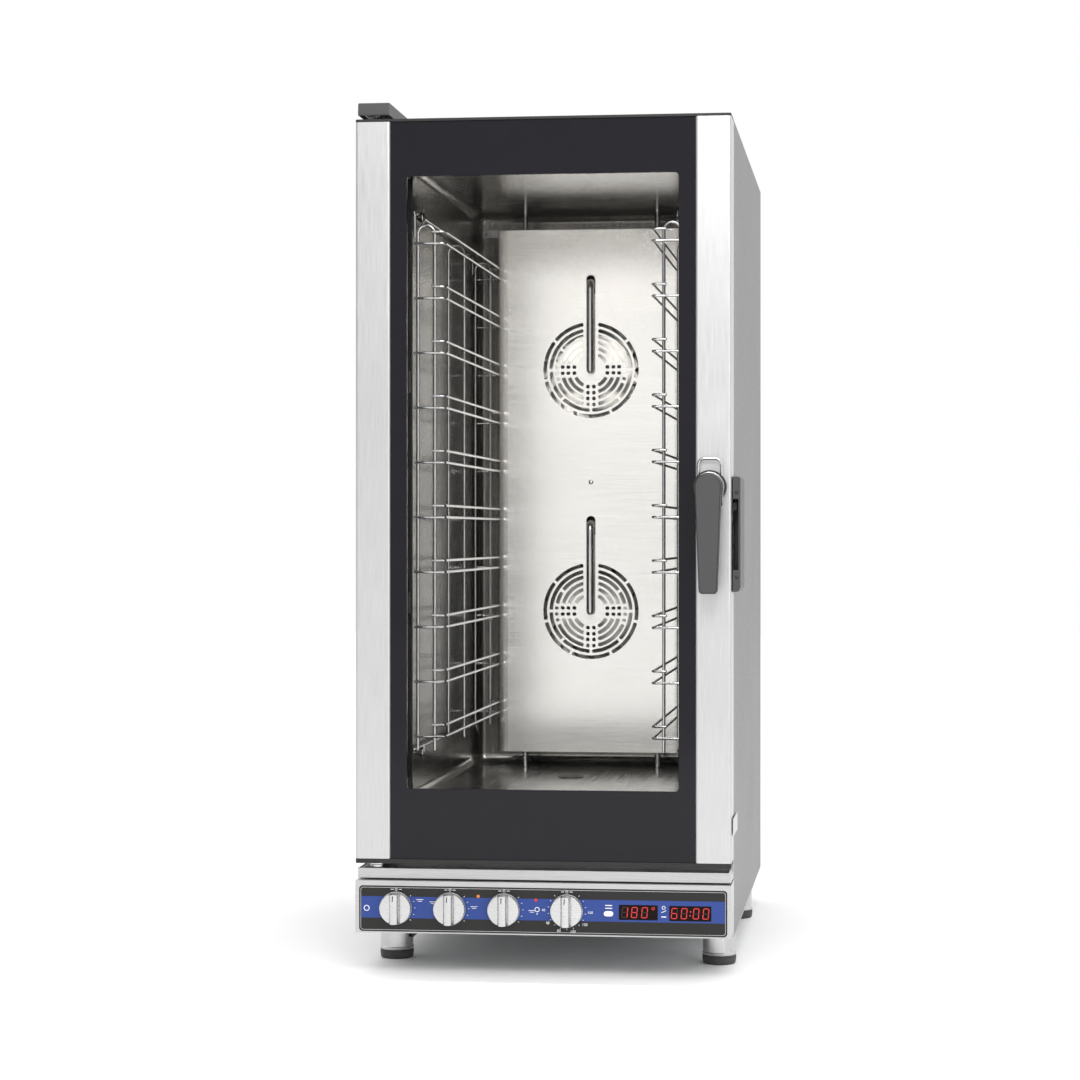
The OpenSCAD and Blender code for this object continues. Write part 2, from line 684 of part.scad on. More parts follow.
module door_bushes() color("#e8e4d8") at_front() {
    bush([stile_top - 20, stile_top], [stile_top - 1, body_h], 12, hinge_pin_r, 8);
    bush([stile_bottom, stile_bottom + 20], [door_bottom, stile_bottom + 1], 13, lower_pin_r, 9);
    difference() {
        union() {
            rod_y(lever_x, [0, 14], lever_z, 9);
            rod_y(lever_x, [2, 5], lever_z, 13);
        }
        rod_y(lever_x, [-1, 20], lever_z, shaft_r + running_gap);
    }
}

// ---------- lever handle ----------
grip_top_r = 18.6;
grip_bottom_z = 551;
grip_outline = concat(
    arc(lever_x, lever_z, grip_top_r, 0, 180, 16),
    arc(lever_x - 8, grip_bottom_z + 5, 5, 190, 270),
    arc(lever_x + 8, grip_bottom_z + 5, 5, 270, 350));
module handle_grip() color("#4a4b4d") at_front() {
    along_y([-54, -34]) polygon(grip_outline);
    rod_y(lever_x, [-35, -20], lever_z, 15);
}

module handle_backplate() color("gainsboro") at_front() along_y([-20, -16]) polygon(concat(
    arc(lever_x, lever_z, 21, -20, 180, 18), [[lever_x - 17, 672], [lever_x + 16, 672]],
    arc(lever_x + 14, 676, 6, -60, 40)));

collar_r = 23.5;
module handle_collar() color("#3a3b3d") at_front() difference() {
    rod_y(lever_x, [-16, -0.5], lever_z, collar_r);
    rod_y(lever_x, [-17, 0], lever_z, shaft_r);
}

bail_half = 16.5;
bail_top = 741;
bail_corner = 9;
module handle_bail() color("silver") at_front() difference() {
    union() {
        for (s = [-1, 1]) {
            rod_z(lever_x + s * bail_half, -9, [lever_z, bail_top - bail_corner], wire_r);
            translate([lever_x + s * (bail_half - bail_corner), -9, bail_top - bail_corner])
                rotate([90, 0, 0]) rotate([0, 0, s > 0 ? 0 : 90])
                    rotate_extrude(angle = 90) translate([bail_corner, 0]) circle(r = wire_r);
        }
        rod_x([lever_x - bail_half + bail_corner, lever_x + bail_half - bail_corner], -9, bail_top, wire_r);
    }
    rod_y(lever_x, [-30, 10], lever_z, collar_r);
}

// Lever spindle with the cranked latch tongue welded to it
module latch_spindle() color("dimgray") at_front() {
    rod_y(lever_x, [-16, 34], lever_z, shaft_r);
    rod_y(lever_x, [24, 30], lever_z, 11);
    block([lever_x - 6, lever_x + 6], [24, 30], [668, lever_z]);
    block([lever_x - 6, 277], [24, 30], [668, 680]);
}

left_side_panel();
right_side_panel();
top_panel();
back_panel();
base_panel();
front_frame();
cavity_shell();
insulation();
motor_plate();
drip_gutter();
gutter_drain();
control_box();
control_membrane();
display_windows();
indicator_lamps();
push_button();
knob_1();
knob_2();
knob_3();
knob_4();
rotary_switches();
control_board();
fan_baffle();
baffle_posts();
steam_tubes();
water_manifold();
fan_wheel_upper();
fan_wheel_lower();
fan_motors();
heating_elements();
rack_studs();
left_rack();
right_rack();
drain_strainer();
drain_pipe();
vent_pipe();
water_valve();
cable_gland();
foot_tubes();
foot_pads();
door_gasket();
hinge_brackets();
hinge_cover();
hinge_pins();
latch_keeper();
screws();
door_tab();
door_stile_left();
door_stile_right();
door_caps();
outer_glass();
inner_glass();
door_inner_frame();
glass_clips();
door_bushes();
handle_grip();
handle_backplate();
handle_collar();
handle_bail();
latch_spindle();
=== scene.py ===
"""Looks of the ten-level combi steamer oven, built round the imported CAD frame."""
import json
import math
import bmesh
import bpy
from mathutils import Matrix, Vector


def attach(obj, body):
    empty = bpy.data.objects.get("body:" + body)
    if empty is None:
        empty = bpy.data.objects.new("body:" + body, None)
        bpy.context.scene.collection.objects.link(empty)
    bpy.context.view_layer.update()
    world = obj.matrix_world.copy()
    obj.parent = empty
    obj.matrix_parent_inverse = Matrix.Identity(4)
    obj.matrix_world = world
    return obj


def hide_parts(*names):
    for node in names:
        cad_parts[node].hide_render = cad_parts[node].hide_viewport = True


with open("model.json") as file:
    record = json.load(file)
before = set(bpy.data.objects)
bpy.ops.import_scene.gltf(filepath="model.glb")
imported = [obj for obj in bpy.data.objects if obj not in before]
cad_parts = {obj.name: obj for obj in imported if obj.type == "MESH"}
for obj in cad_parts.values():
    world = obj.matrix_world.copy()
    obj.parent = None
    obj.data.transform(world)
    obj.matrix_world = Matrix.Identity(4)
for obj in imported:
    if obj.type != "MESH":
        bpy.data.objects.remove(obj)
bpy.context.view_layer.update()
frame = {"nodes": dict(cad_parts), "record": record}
scene = bpy.context.scene
NODES = frame["nodes"]
BODY_OF = {n: body for body, names in frame["record"]["behaviour"]["bodies"].items() for n in names}
SLOT_OF = {s["node"]: s["material_slot"] for s in frame["record"]["subparts"]}
FRONT = -0.410  # Y of the door's front plane
MM = 0.001


def at(x, y, z):
    """A point from millimetres, with Y counted from the door front, to metres in the row frame."""
    return Vector((x * MM, FRONT + y * MM, z * MM))


# ---------------------------------------------------------------- camera, floor and lights
camera = bpy.data.objects.new("camera", bpy.data.cameras.new("camera"))
scene.collection.objects.link(camera)
camera.location = (0.4882, -4.02983, 0.6346)
camera.rotation_euler = (math.pi / 2, 0, 0.1143)
camera.data.sensor_width = 36
camera.data.lens = 85.455
camera.data.shift_x, camera.data.shift_y = -0.04848, -0.0056
scene.camera = camera
scene.view_settings.view_transform = "Standard"

world = bpy.data.worlds.new("studio")
scene.world = world
world.use_nodes = True
sky, join = world.node_tree.nodes, world.node_tree.links


def sky_node(kind, links=(), **values):
    """Adds a node to the world, with its values and with (socket, source) links."""
    n = sky.new(kind)
    for key, value in values.items():
        if key in n.inputs:
            n.inputs[key].default_value = value
        else:
            setattr(n, key, value)
    for socket, source in links:
        join.new(source, n.inputs[socket])
    return n


def sky_range(source, a, b, lo, hi):
    """Goes smoothly from lo to hi as the source goes from a to b."""
    n = sky_node("ShaderNodeMapRange", [("Value", source)], interpolation_type="SMOOTHSTEP")
    for socket, value in (("From Min", a), ("From Max", b), ("To Min", lo), ("To Max", hi)):
        n.inputs[socket].default_value = value
    return n.outputs["Result"]


# a white studio, darker at its left and right so that round metal gets dark edges
toward = sky_node("ShaderNodeTexCoord").outputs["Generated"]
way = sky_node("ShaderNodeSeparateXYZ", [("Vector", toward)])
right = sky_range(way.outputs["X"], 0.45, 0.75, 1.0, 0.3)
left = sky_range(way.outputs["X"], -0.65, -0.08, 0.3, 1.0)
flags = sky_node("ShaderNodeMath", [(0, right), (1, left)], operation="MINIMUM").outputs[0]
ahead = sky_range(way.outputs["Y"], -0.2, 0.1, 0.0, 1.0)
both = sky_node("ShaderNodeMath", [(0, flags), (1, ahead)], operation="MAXIMUM").outputs[0]
above = sky_range(way.outputs["Z"], 0.35, 0.8, 0.0, 0.5)
total = sky_node("ShaderNodeMath", [(0, both), (1, above)], operation="ADD").outputs[0]
join.new(total, sky["Background"].inputs["Strength"])
sky["Background"].inputs["Color"].default_value = (1, 1, 1, 1)


def soft_light(name, place, target, size, power, color=(1, 1, 1)):
    """A rectangular lamp at place that looks at target (metres, watts)."""
    data = bpy.data.lights.new(name, "AREA")
    data.shape = "RECTANGLE"
    data.size, data.size_y = size
    data.energy = power
    data.color = color
    o = bpy.data.objects.new(name, data)
    scene.collection.objects.link(o)
    o.location = place
    o.rotation_euler = (Vector(target) - Vector(place)).to_track_quat("-Z", "Y").to_euler()
    o.visible_camera = False
    return o


soft_light("key_light", (0.5, -3.6, 2.8), (0, 0, 0.7), (1.8, 1.4), 70)
soft_light("fill_light", (2.6, -2.4, 1.4), (0, 0, 0.6), (1.4, 2.0), 20)
lamp = soft_light("oven_lamp", at(0, 120, 1120), at(0, 611, 780), (0.22, 0.06), 8, (1, 0.97, 0.93))
lamp.visible_glossy = False

# ---------------------------------------------------------------- materials
MATS = {}
NOISE_LOW, NOISE_HIGH = 0.3, 0.7  # nearly all of the fine noise lies between these


def finish(name, dark, light, metallic=0.0, rough=(0.4, 0.5), stretch=(1, 1, 1), grain=200,
           bump=0.05, depth=0.0003, blotch=0.08, blotch_size=4, alpha=1.0, sockets=None):
    """A material with fine grain and large soft patches in its colour, roughness and bump."""
    m = bpy.data.materials.new(name)
    m.use_nodes = True
    nodes, links = m.node_tree.nodes, m.node_tree.links
    shader = nodes["Principled BSDF"]

    def add(kind, **values):
        n = nodes.new(kind)
        for key, value in values.items():
            if key in n.inputs:
                n.inputs[key].default_value = value
            else:
                setattr(n, key, value)
        return n

    place = add("ShaderNodeTexCoord")
    fit = add("ShaderNodeMapping", Scale=stretch)
    fine = add("ShaderNodeTexNoise", Scale=grain, Detail=4.0, Roughness=0.6)
    patch = add("ShaderNodeTexNoise", Scale=blotch_size, Detail=2.0)
    ramp = add("ShaderNodeValToRGB")
    ramp.color_ramp.elements[0].position = NOISE_LOW
    ramp.color_ramp.elements[1].position = NOISE_HIGH
    ramp.color_ramp.elements[0].color = (*dark, 1)
    ramp.color_ramp.elements[1].color = (*light, 1)
    shade = add("ShaderNodeValToRGB")
    shade.color_ramp.elements[0].position = 0.25
    shade.color_ramp.elements[1].position = 0.75
    shade.color_ramp.elements[0].color = (1 - blotch, 1 - blotch, 1 - blotch, 1)
    shade.color_ramp.elements[1].color = (1, 1, 1, 1)
    mix = add("ShaderNodeMix", data_type="RGBA", blend_type="MULTIPLY")
    mix.inputs["Factor"].default_value = 1.0
    spread = add("ShaderNodeMapRange")
    for socket, value in zip(("From Min", "From Max", "To Min", "To Max"), (NOISE_LOW, NOISE_HIGH, *rough)):
        spread.inputs[socket].default_value = value
    relief = add("ShaderNodeBump", Strength=bump, Distance=depth)
    links.new(place.outputs["Object"], fit.inputs["Vector"])
    links.new(fit.outputs["Vector"], fine.inputs["Vector"])
    links.new(place.outputs["Object"], patch.inputs["Vector"])
    links.new(fine.outputs["Fac"], ramp.inputs["Fac"])
    links.new(patch.outputs["Fac"], shade.inputs["Fac"])
    links.new(ramp.outputs["Color"], mix.inputs[6])
    links.new(shade.outputs["Color"], mix.inputs[7])
    links.new(mix.outputs[2], shader.inputs["Base Color"])
    links.new(fine.outputs["Fac"], spread.inputs["Value"])
    links.new(spread.outputs["Result"], shader.inputs["Roughness"])
    links.new(fine.outputs["Fac"], relief.inputs["Height"])
    links.new(relief.outputs["Normal"], shader.inputs["Normal"])
    shader.inputs["Metallic"].default_value = metallic
    shader.inputs["Alpha"].default_value = alpha
    for key, value in (sockets or {}).items():
        shader.inputs[key].default_value = value
    MATS[name] = m


def gray(v):
    return (v, v, v)


# directions of the grain
UP, ACROSS, DEEP, EVEN = (1, 1, 0.02), (0.02, 1, 1), (1, 0.02, 1), (1, 1, 1)
finish("door_stainless", gray(0.52), gray(0.61), 0.75, (0.30, 0.42), UP, 900, 0.14)
finish("brushed_stainless", gray(0.46), gray(0.58), 0.85, (0.25, 0.4), ACROSS, 900, 0.1)
finish("side_stainless", gray(0.17), gray(0.22), 0.6, (0.38, 0.5), DEEP, 700, 0.1, blotch=0.15)
# painted shade: the cavity stainless gets a far darker base than the door's steel, so its walls and the back
# behind the baffle read shaded
finish("cavity_stainless", (0.20, 0.19, 0.175), (0.28, 0.268, 0.247), 0.95, (0.14, 0.24), UP, 260,
       0.008, blotch=0.3, blotch_size=7)
# painted light: the cavity floor gets a lighter copy of the same stainless than the walls
finish("floor_stainless", (0.42, 0.41, 0.39), (0.56, 0.55, 0.52), 0.95, (0.16, 0.24), DEEP, 260, 0.008,
       blotch=0.2, blotch_size=6)
# painted light: the baffle's stainless gets a near-white base, far brighter than the door's steel, standing
# for the lamp light on it
finish("baffle_stainless", (0.90, 0.885, 0.85), (0.99, 0.975, 0.94), 0.9, (0.15, 0.24), ACROSS, 700,
       0.08)
finish("wire_stainless", gray(0.50), gray(0.66), 1.0, (0.12, 0.2), EVEN, 300, 0.03)
# painted highlight: a brighter copy of the stainless, so the steam tubes show a broad highlight
finish("tube_stainless", gray(0.78), gray(0.92), 1.0, (0.20, 0.28), UP, 300, 0.03)
finish("leg_stainless", gray(0.52), gray(0.62), 1.0, (0.2, 0.3), UP, 500, 0.05)
# painted shade: near-black steel for the latch spindle, standing for the shade inside the keeper's slot; also
# the two screw heads on the keeper
finish("dark_steel_and_painted_shade", gray(0.03), gray(0.05), 0.6, (0.4, 0.55), EVEN, 300, 0.08)
# painted light: the fan wheel's steel dish gets a near-white, non-metal finish, so it shows bright behind the
# grille slots
finish("fan_dish", (0.88, 0.87, 0.84), (0.97, 0.96, 0.93), 0.0, (0.35, 0.5), EVEN, 300, 0.05, blotch=0.2)
finish("fan_blade", (0.10, 0.097, 0.09), (0.17, 0.165, 0.155), 0.7, (0.3, 0.45), EVEN, 200, 0.05)
finish("zinc_steel", (0.42, 0.43, 0.44), (0.58, 0.59, 0.60), 0.8, (0.35, 0.55), EVEN, 60, 0.05,
       blotch=0.2)
finish("heater_sheath", (0.16, 0.13, 0.11), (0.30, 0.26, 0.23), 0.7, (0.4, 0.6), EVEN, 120, 0.1,
       blotch=0.3)
finish("motor_paint", gray(0.05), gray(0.07), 0.1, (0.4, 0.5), EVEN, 900, 0.2)
finish("knob_silver", gray(0.55), gray(0.66), 0.9, (0.22, 0.3), ACROSS, 1200, 0.05)
finish("wool", (0.55, 0.47, 0.30), (0.75, 0.68, 0.48), 0.0, (0.9, 1.0), EVEN, 90, 0.6, 0.002, 0.25)
finish("panel_foil", (0.013, 0.012, 0.012), (0.018, 0.017, 0.016), 0.0, (0.3, 0.38), EVEN, 1500, 0.06,
       sockets={"Specular IOR Level": 0.3})
finish("foil_blue", (0.020, 0.050, 0.225), (0.028, 0.062, 0.265), 0.0, (0.3, 0.38), EVEN, 1500, 0.06,
       sockets={"Specular IOR Level": 0.3})
finish("foil_print", gray(0.72), gray(0.82), 0.0, (0.4, 0.5), EVEN, 1500, 0.03)
finish("display_glass", (0.0050, 0.0006, 0.0008), (0.0080, 0.0010, 0.0012), 0.0, (0.08, 0.14), EVEN, 300,
       0.01, sockets={"Specular IOR Level": 0.12})
finish("led_lit", (0.55, 0.02, 0.02), (0.62, 0.03, 0.03), 0.0, (0.3, 0.4), EVEN, 600, 0.01,
       sockets={"Emission Color": (1, 0.05, 0.05, 1), "Emission Strength": 0.12})
finish("led_dim", (0.018, 0.002, 0.002), (0.024, 0.003, 0.003), 0.0, (0.3, 0.4), EVEN, 600, 0.01)
finish("lamp_plastic", (0.50, 0.012, 0.015), (0.62, 0.02, 0.02), 0.0, (0.15, 0.22), EVEN, 500, 0.02,
       sockets={"Emission Color": (1, 0.05, 0.02, 1), "Emission Strength": 0.08})
finish("lamp_orange", (0.60, 0.16, 0.03), (0.72, 0.23, 0.05), 0.0, (0.15, 0.22), EVEN, 500, 0.02,
       sockets={"Emission Color": (1, 0.3, 0.04, 1), "Emission Strength": 0.08})
finish("button_white", gray(0.74), gray(0.82), 0.0, (0.3, 0.4), EVEN, 700, 0.04)
finish("board_green", (0.01, 0.10, 0.03), (0.02, 0.16, 0.05), 0.0, (0.3, 0.4), EVEN, 200, 0.05)
finish("black_plastic", gray(0.014), gray(0.022), 0.0, (0.4, 0.5), EVEN, 1100, 0.15,
       sockets={"Specular IOR Level": 0.35})
finish("grey_plastic", gray(0.046), gray(0.060), 0.0, (0.38, 0.46), EVEN, 1400, 0.12,
       sockets={"Specular IOR Level": 0.4})
finish("bush_plastic", (0.62, 0.60, 0.54), (0.72, 0.70, 0.64), 0.0, (0.4, 0.5), EVEN, 500, 0.05)
finish("valve_plastic", (0.58, 0.58, 0.54), (0.68, 0.68, 0.64), 0.0, (0.4, 0.5), EVEN, 500, 0.05)
finish("silicone", gray(0.012), gray(0.02), 0.0, (0.5, 0.62), EVEN, 600, 0.15)
finish("pad_rubber", gray(0.045), gray(0.065), 0.0, (0.55, 0.7), EVEN, 900, 0.25)
finish("tinted_glass", (0.0070, 0.0064, 0.0095), (0.0080, 0.0074, 0.0105), 0.0, (0.05, 0.07), EVEN, 40,
       0.004, blotch=0.03, sockets={"Specular IOR Level": 0.22})
finish("clear_glass", (0.012, 0.013, 0.013), (0.016, 0.018, 0.018), 0.0, (0.02, 0.04), EVEN, 30, 0.004,
       blotch=0.03, alpha=0.018, sockets={"Specular IOR Level": 0.3})
# near-black for painted shade on the door frame's rim and behind the grille, and for the real dark pointer
# marks of the knobs
finish("painted_shade_and_mark_black", gray(0.010), gray(0.016), 0.0, (0.45, 0.6), EVEN, 500, 0.1,
       sockets={"Specular IOR Level": 0.2})
finish("stage_white", gray(0.96), gray(0.98), 0.0, (0.7, 0.8), EVEN, 3, 0.0, blotch=0.02, blotch_size=1)


# ---------------------------------------------------------------- mesh tools
FLAT, SHARP = math.radians(0.5), math.radians(30)  # faces this flat are joined, edges this sharp are rounded
CAP = [math.radians(q) for q in (28, 55, 80)]  # places of the rings in a tube's round end


def place_mesh(name, bm, mats, body, replaces=(), angle=35):
    """Puts a bmesh in the scene with its materials and body, and hides the CAD nodes that it stands for.

    Edges sharper than angle (degrees) stay sharp in the shading."""
    mesh = bpy.data.meshes.new(name)
    bmesh.ops.remove_doubles(bm, verts=bm.verts, dist=1e-6)
    for f in bm.faces:
        f.smooth = True
    bm.to_mesh(mesh)
    bm.free()
    mesh.set_sharp_from_angle(angle=math.radians(angle))
    for m in [mats] if isinstance(mats, str) else mats:
        mesh.materials.append(MATS[m])
    o = bpy.data.objects.new(name, mesh)
    scene.collection.objects.link(o)
    if body == "stage":
        return
    shade = o.modifiers.new("flat_faces", "WEIGHTED_NORMAL")
    shade.keep_sharp = True
    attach(o, body)
    if replaces:
        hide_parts(*replaces)


def bevelled(node, width, mat=None):
    """Stands for a CAD node with a copy of its mesh whose sharp edges are rounded by width millimetres."""
    bm = bmesh.new()
    bm.from_mesh(NODES[node].data)
    bmesh.ops.remove_doubles(bm, verts=bm.verts, dist=2e-6)
    bmesh.ops.dissolve_limit(bm, angle_limit=FLAT, verts=bm.verts, edges=bm.edges)
    sharp = [e for e in bm.edges if len(e.link_faces) == 2 and e.calc_face_angle(0) > SHARP]
    bmesh.ops.bevel(bm, geom=sharp, offset=width * MM, segments=2, affect="EDGES", profile=0.5,
                    clamp_overlap=True)
    place_mesh(node + "_looks", bm, mat or SLOT_OF[node], BODY_OF[node], [node])


def tube(bm, points, r, sides=12, closed=False):
    """Sweeps a circle along points (metres); r is in millimetres. Open ends get round caps."""
    n = len(points)
    tangents = []
    for i in range(n):
        a = points[(i - 1) % n] if closed or i else points[0]
        b = points[(i + 1) % n] if closed or i < n - 1 else points[-1]
        tangents.append((b - a).normalized())
    side = tangents[0].orthogonal().normalized()
    rings = []

    def ring(c, t, s, radius):
        u = t.cross(s)
        return [bm.verts.new(c + radius * (math.cos(k) * s + math.sin(k) * u))
                for k in (2 * math.pi * j / sides for j in range(sides))]

    for i in range(n):
        side = (side - tangents[i] * side.dot(tangents[i])).normalized()
        if i == 0 and not closed:
            for q in reversed(CAP):
                rings.append(ring(points[0] - tangents[0] * r * MM * math.sin(q), tangents[0], side,
                                  r * MM * math.cos(q)))
        rings.append(ring(points[i], tangents[i], side, r * MM))
    if not closed:
        for q in CAP:
            rings.append(ring(points[-1] + tangents[-1] * r * MM * math.sin(q), tangents[-1], side,
                              r * MM * math.cos(q)))
    count = len(rings)
    for i in range(count if closed else count - 1):
        a, b = rings[i], rings[(i + 1) % count]
        for j in range(sides):
            bm.faces.new((a[j], a[(j + 1) % sides], b[(j + 1) % sides], b[j]))
    if not closed:
        bm.faces.new(rings[0][::-1])
        bm.faces.new(rings[-1])


def bend(corner, a, b, r):
    """Points that round the corner between a and b with radius r (all metres)."""
    steps = 5
    u, v = (a - corner).normalized(), (b - corner).normalized()
    half = u.angle(v) / 2
    d = r / math.tan(half)
    p, q = corner + u * d, corner + v * d
    centre = corner + (u + v).normalized() * (r / math.sin(half))
    p, q = (p - centre).normalized(), (q - centre).normalized()
    return [centre + p.slerp(q, i / steps) * r for i in range(steps + 1)]


def path(*corners, r=6):
    """A line through corners, rounded with radius r (millimetres) at the inner ones."""
    pts = [corners[0]]
    for i in range(1, len(corners) - 1):
        pts += bend(corners[i], corners[i - 1], corners[i + 1], r * MM)
    return pts + [corners[-1]]


def lathe(bm, profile, centre, axis="y", steps=48, mat=0):
    """Turns (radius, height) points in millimetres round an axis through centre (metres)."""
    frames = {"y": (Vector((1, 0, 0)), Vector((0, 0, 1)), Vector((0, 1, 0))),
              "z": (Vector((1, 0, 0)), Vector((0, 1, 0)), Vector((0, 0, 1))),
              "x": (Vector((0, 1, 0)), Vector((0, 0, 1)), Vector((1, 0, 0)))}
    u, v, w = frames[axis]
    rings = []
    for r, h in profile:
        if r <= 0:
            rings.append([bm.verts.new(centre + w * h * MM)])
        else:
            rings.append([bm.verts.new(centre + w * h * MM + r * MM * (u * math.cos(a) + v * math.sin(a)))
                          for a in (2 * math.pi * k / steps for k in range(steps))])
    for a, b in zip(rings, rings[1:]):
        for k in range(steps):
            j = (k + 1) % steps
            quad = [a[k % len(a)], a[j % len(a)], b[j % len(b)], b[k % len(b)]]
            quad = [p for i, p in enumerate(quad) if p not in quad[:i]]
            if len(quad) > 2:
                bm.faces.new(quad).material_index = mat


def rounded(x0, x1, z0, z1, r):
    """Outline of a rectangle with round corners, anticlockwise."""
    pts, steps = [], 6
    for cx, cz, a in ((x1 - r, z0 + r, -90), (x1 - r, z1 - r, 0), (x0 + r, z1 - r, 90),
                      (x0 + r, z0 + r, 180)):
        pts += [(cx + r * math.cos(math.radians(a + 90 * i / steps)),
                 cz + r * math.sin(math.radians(a + 90 * i / steps))) for i in range(steps + 1)]
    return pts


def circle(cx, cz, r, steps=32):
    """Outline of a circle, anticlockwise."""
    return [(cx + r * math.cos(2 * math.pi * k / steps), cz + r * math.sin(2 * math.pi * k / steps))
            for k in range(steps)]


def plate(loops, y0, y1, edge=0.0):
    """A bmesh of a flat plate filled between outlines in X-Z, from y0 to y1, with its rims rounded by edge.

    All of them are in millimetres; the outlines after the first are holes."""
    curve = bpy.data.curves.new("outline", "CURVE")
    curve.dimensions = "2D"
    curve.fill_mode = "BOTH"
    half = (y1 - y0) / 2
    curve.extrude = max(half - edge, 0) * MM
    curve.bevel_depth = edge * MM
    curve.bevel_resolution = 1
    curve.offset = -edge * MM
    for loop in loops:
        spline = curve.splines.new("POLY")
        spline.points.add(len(loop) - 1)
        spline.use_cyclic_u = True
        for p, (x, z) in zip(spline.points, loop):
            p.co = (x * MM, z * MM, 0, 1)
    o = bpy.data.objects.new("outline", curve)
    scene.collection.objects.link(o)
    dg = bpy.context.evaluated_depsgraph_get()
    mesh = bpy.data.meshes.new_from_object(o.evaluated_get(dg))
    bm = bmesh.new()
    bm.from_mesh(mesh)
    bpy.data.objects.remove(o)
    bpy.data.curves.remove(curve)
    bpy.data.meshes.remove(mesh)
    bmesh.ops.remove_doubles(bm, verts=bm.verts, dist=1e-7)
    for v in bm.verts:
        x, z, d = v.co
        v.co = (x, FRONT + (y0 + y1) / 2 * MM - d, z)
    bmesh.ops.recalc_face_normals(bm, faces=bm.faces)
    return bm


def merge(into, other, mat=0):
    """Adds one bmesh to another."""
    mesh = bpy.data.meshes.new("part")
    other.to_mesh(mesh)
    other.free()
    start = len(into.faces)
    into.from_mesh(mesh)
    into.faces.ensure_lookup_table()
    for f in into.faces[start:]:
        f.material_index = mat
    bpy.data.meshes.remove(mesh)


# ---------------------------------------------------------------- stage
bm = bmesh.new()
bmesh.ops.create_grid(bm, x_segments=4, y_segments=4, size=12)
place_mesh("floor", bm, "stage_white", "stage")

# every CAD node gets its procedural finish; those that a piece stands for are hidden
for name, o in NODES.items():
    o.data.materials.clear()
    o.data.materials.append(MATS[SLOT_OF[name]])

# ---------------------------------------------------------------- door
for node in ("door_stile_left", "door_stile_right"):
    bevelled(node, 0.5)
bevelled("door_caps", 0.7)
window = rounded(-195.5, 195.5, 269.5, 1147.5, 5)
bm = plate([rounded(-219.4, 219.4, 168.6, 1225.9, 2), window], 3, 7.9, 0.3)
place_mesh("glass_frit_band", bm, "tinted_glass", "door", ["outer_glass"])
bm = plate([rounded(-195.6, 195.6, 269.4, 1147.6, 5.1)], 3.3, 7.6)
place_mesh("glass_window", bm, "clear_glass", "door")
bevelled("inner_glass", 0.5)
bm = plate([rounded(-219.3, 219.3, 168.8, 1225.6, 1), rounded(-197, 197, 258, 1159, 12)], 49.1, 57.9, 1.2)
STEEL_FROM = FRONT + 56 * MM  # the part of the frame in front of this is in the shade of the door
for f in bm.faces:
    if f.calc_center_median().y < STEEL_FROM:
        f.material_index = 1
place_mesh("door_liner_frame", bm, ["door_stainless", "painted_shade_and_mark_black"], "door",
           ["door_inner_frame"])

# ---------------------------------------------------------------- cabinet outside
for node, width in (("left_side_panel", 0.5), ("right_side_panel", 0.5), ("top_panel", 0.4),
                    ("front_frame", 0.5), ("drip_gutter", 0.5), ("control_box", 0.6), ("hinge_cover", 1.2),
                    ("latch_keeper", 0.8), ("door_tab", 0.3), ("gutter_drain", 1.0), ("hinge_brackets", 0.6),
                    ("cable_gland", 0.6), ("water_valve", 1.0), ("vent_pipe", 0.3)):
    bevelled(node, width)

# ---------------------------------------------------------------- feet, hinge, gasket
FEET = [at(x, y, 0) for x in (-242, 242) for y in (171.6, 629)]
bm = bmesh.new()
for foot in FEET:
    lathe(bm, [(0, 12.8), (23.4, 12.8), (24.4, 13.4), (25.0, 15), (25.0, 17), (24.2, 18), (24.2, 50),
               (25.2, 51), (25.2, 55), (0, 55)], foot, "z", 64)
place_mesh("leg_tubes", bm, "leg_stainless", "cabinet", ["foot_tubes"])
bm = bmesh.new()
for foot in FEET:
    lathe(bm, [(0, 0), (22.6, 0), (23.6, 0.8), (24.4, 3), (25.2, 9.6), (24.6, 10.1), (24.6, 10.9),
               (25.2, 11.4), (25.0, 12.6), (24.2, 13), (0, 13)], foot, "z", 64)
place_mesh("leg_pads", bm, "pad_rubber", "cabinet", ["foot_pads"])

HINGE = at(-242.7, 30, 0)
bm = bmesh.new()
lathe(bm, [(0, 1210), (4.4, 1210), (5, 1211), (5, 1245), (8.6, 1245), (9, 1245.6), (9, 1247.4), (8.4, 1248),
           (0, 1248)], HINGE, "z", 32)
lathe(bm, [(0, 141), (6, 141), (6, 153.8), (11.1, 153.8), (11.5, 154.3), (11.5, 157), (11, 157.6),
           (11.5, 158.2), (11.5, 161), (11.1, 161.5), (6, 161.5), (6, 185), (5.2, 186), (0, 186)],
      HINGE, "z", 48)
place_mesh("hinge_pivots", bm, "wire_stainless", "cabinet", ["hinge_pins"])

SEAL_Y, SEAL_R = 62.2, 3.8
bm = bmesh.new()
tube(bm, [at(x, SEAL_Y, z) for x, z in rounded(-214, 214, 235, 1187, 18)], SEAL_R, 14, closed=True)
place_mesh("door_seal", bm, "silicone", "cabinet", ["door_gasket"])

# ---------------------------------------------------------------- handle
LEVER_X, LEVER_Z = 240.5, 701
LEVER = at(LEVER_X, 0, LEVER_Z)


def turn_arc(cx, cz, r, a0, a1, steps):
    """Points on an arc from a0 to a1 degrees."""
    return [(cx + r * math.cos(math.radians(a0 + (a1 - a0) * i / steps)),
             cz + r * math.sin(math.radians(a0 + (a1 - a0) * i / steps))) for i in range(steps + 1)]


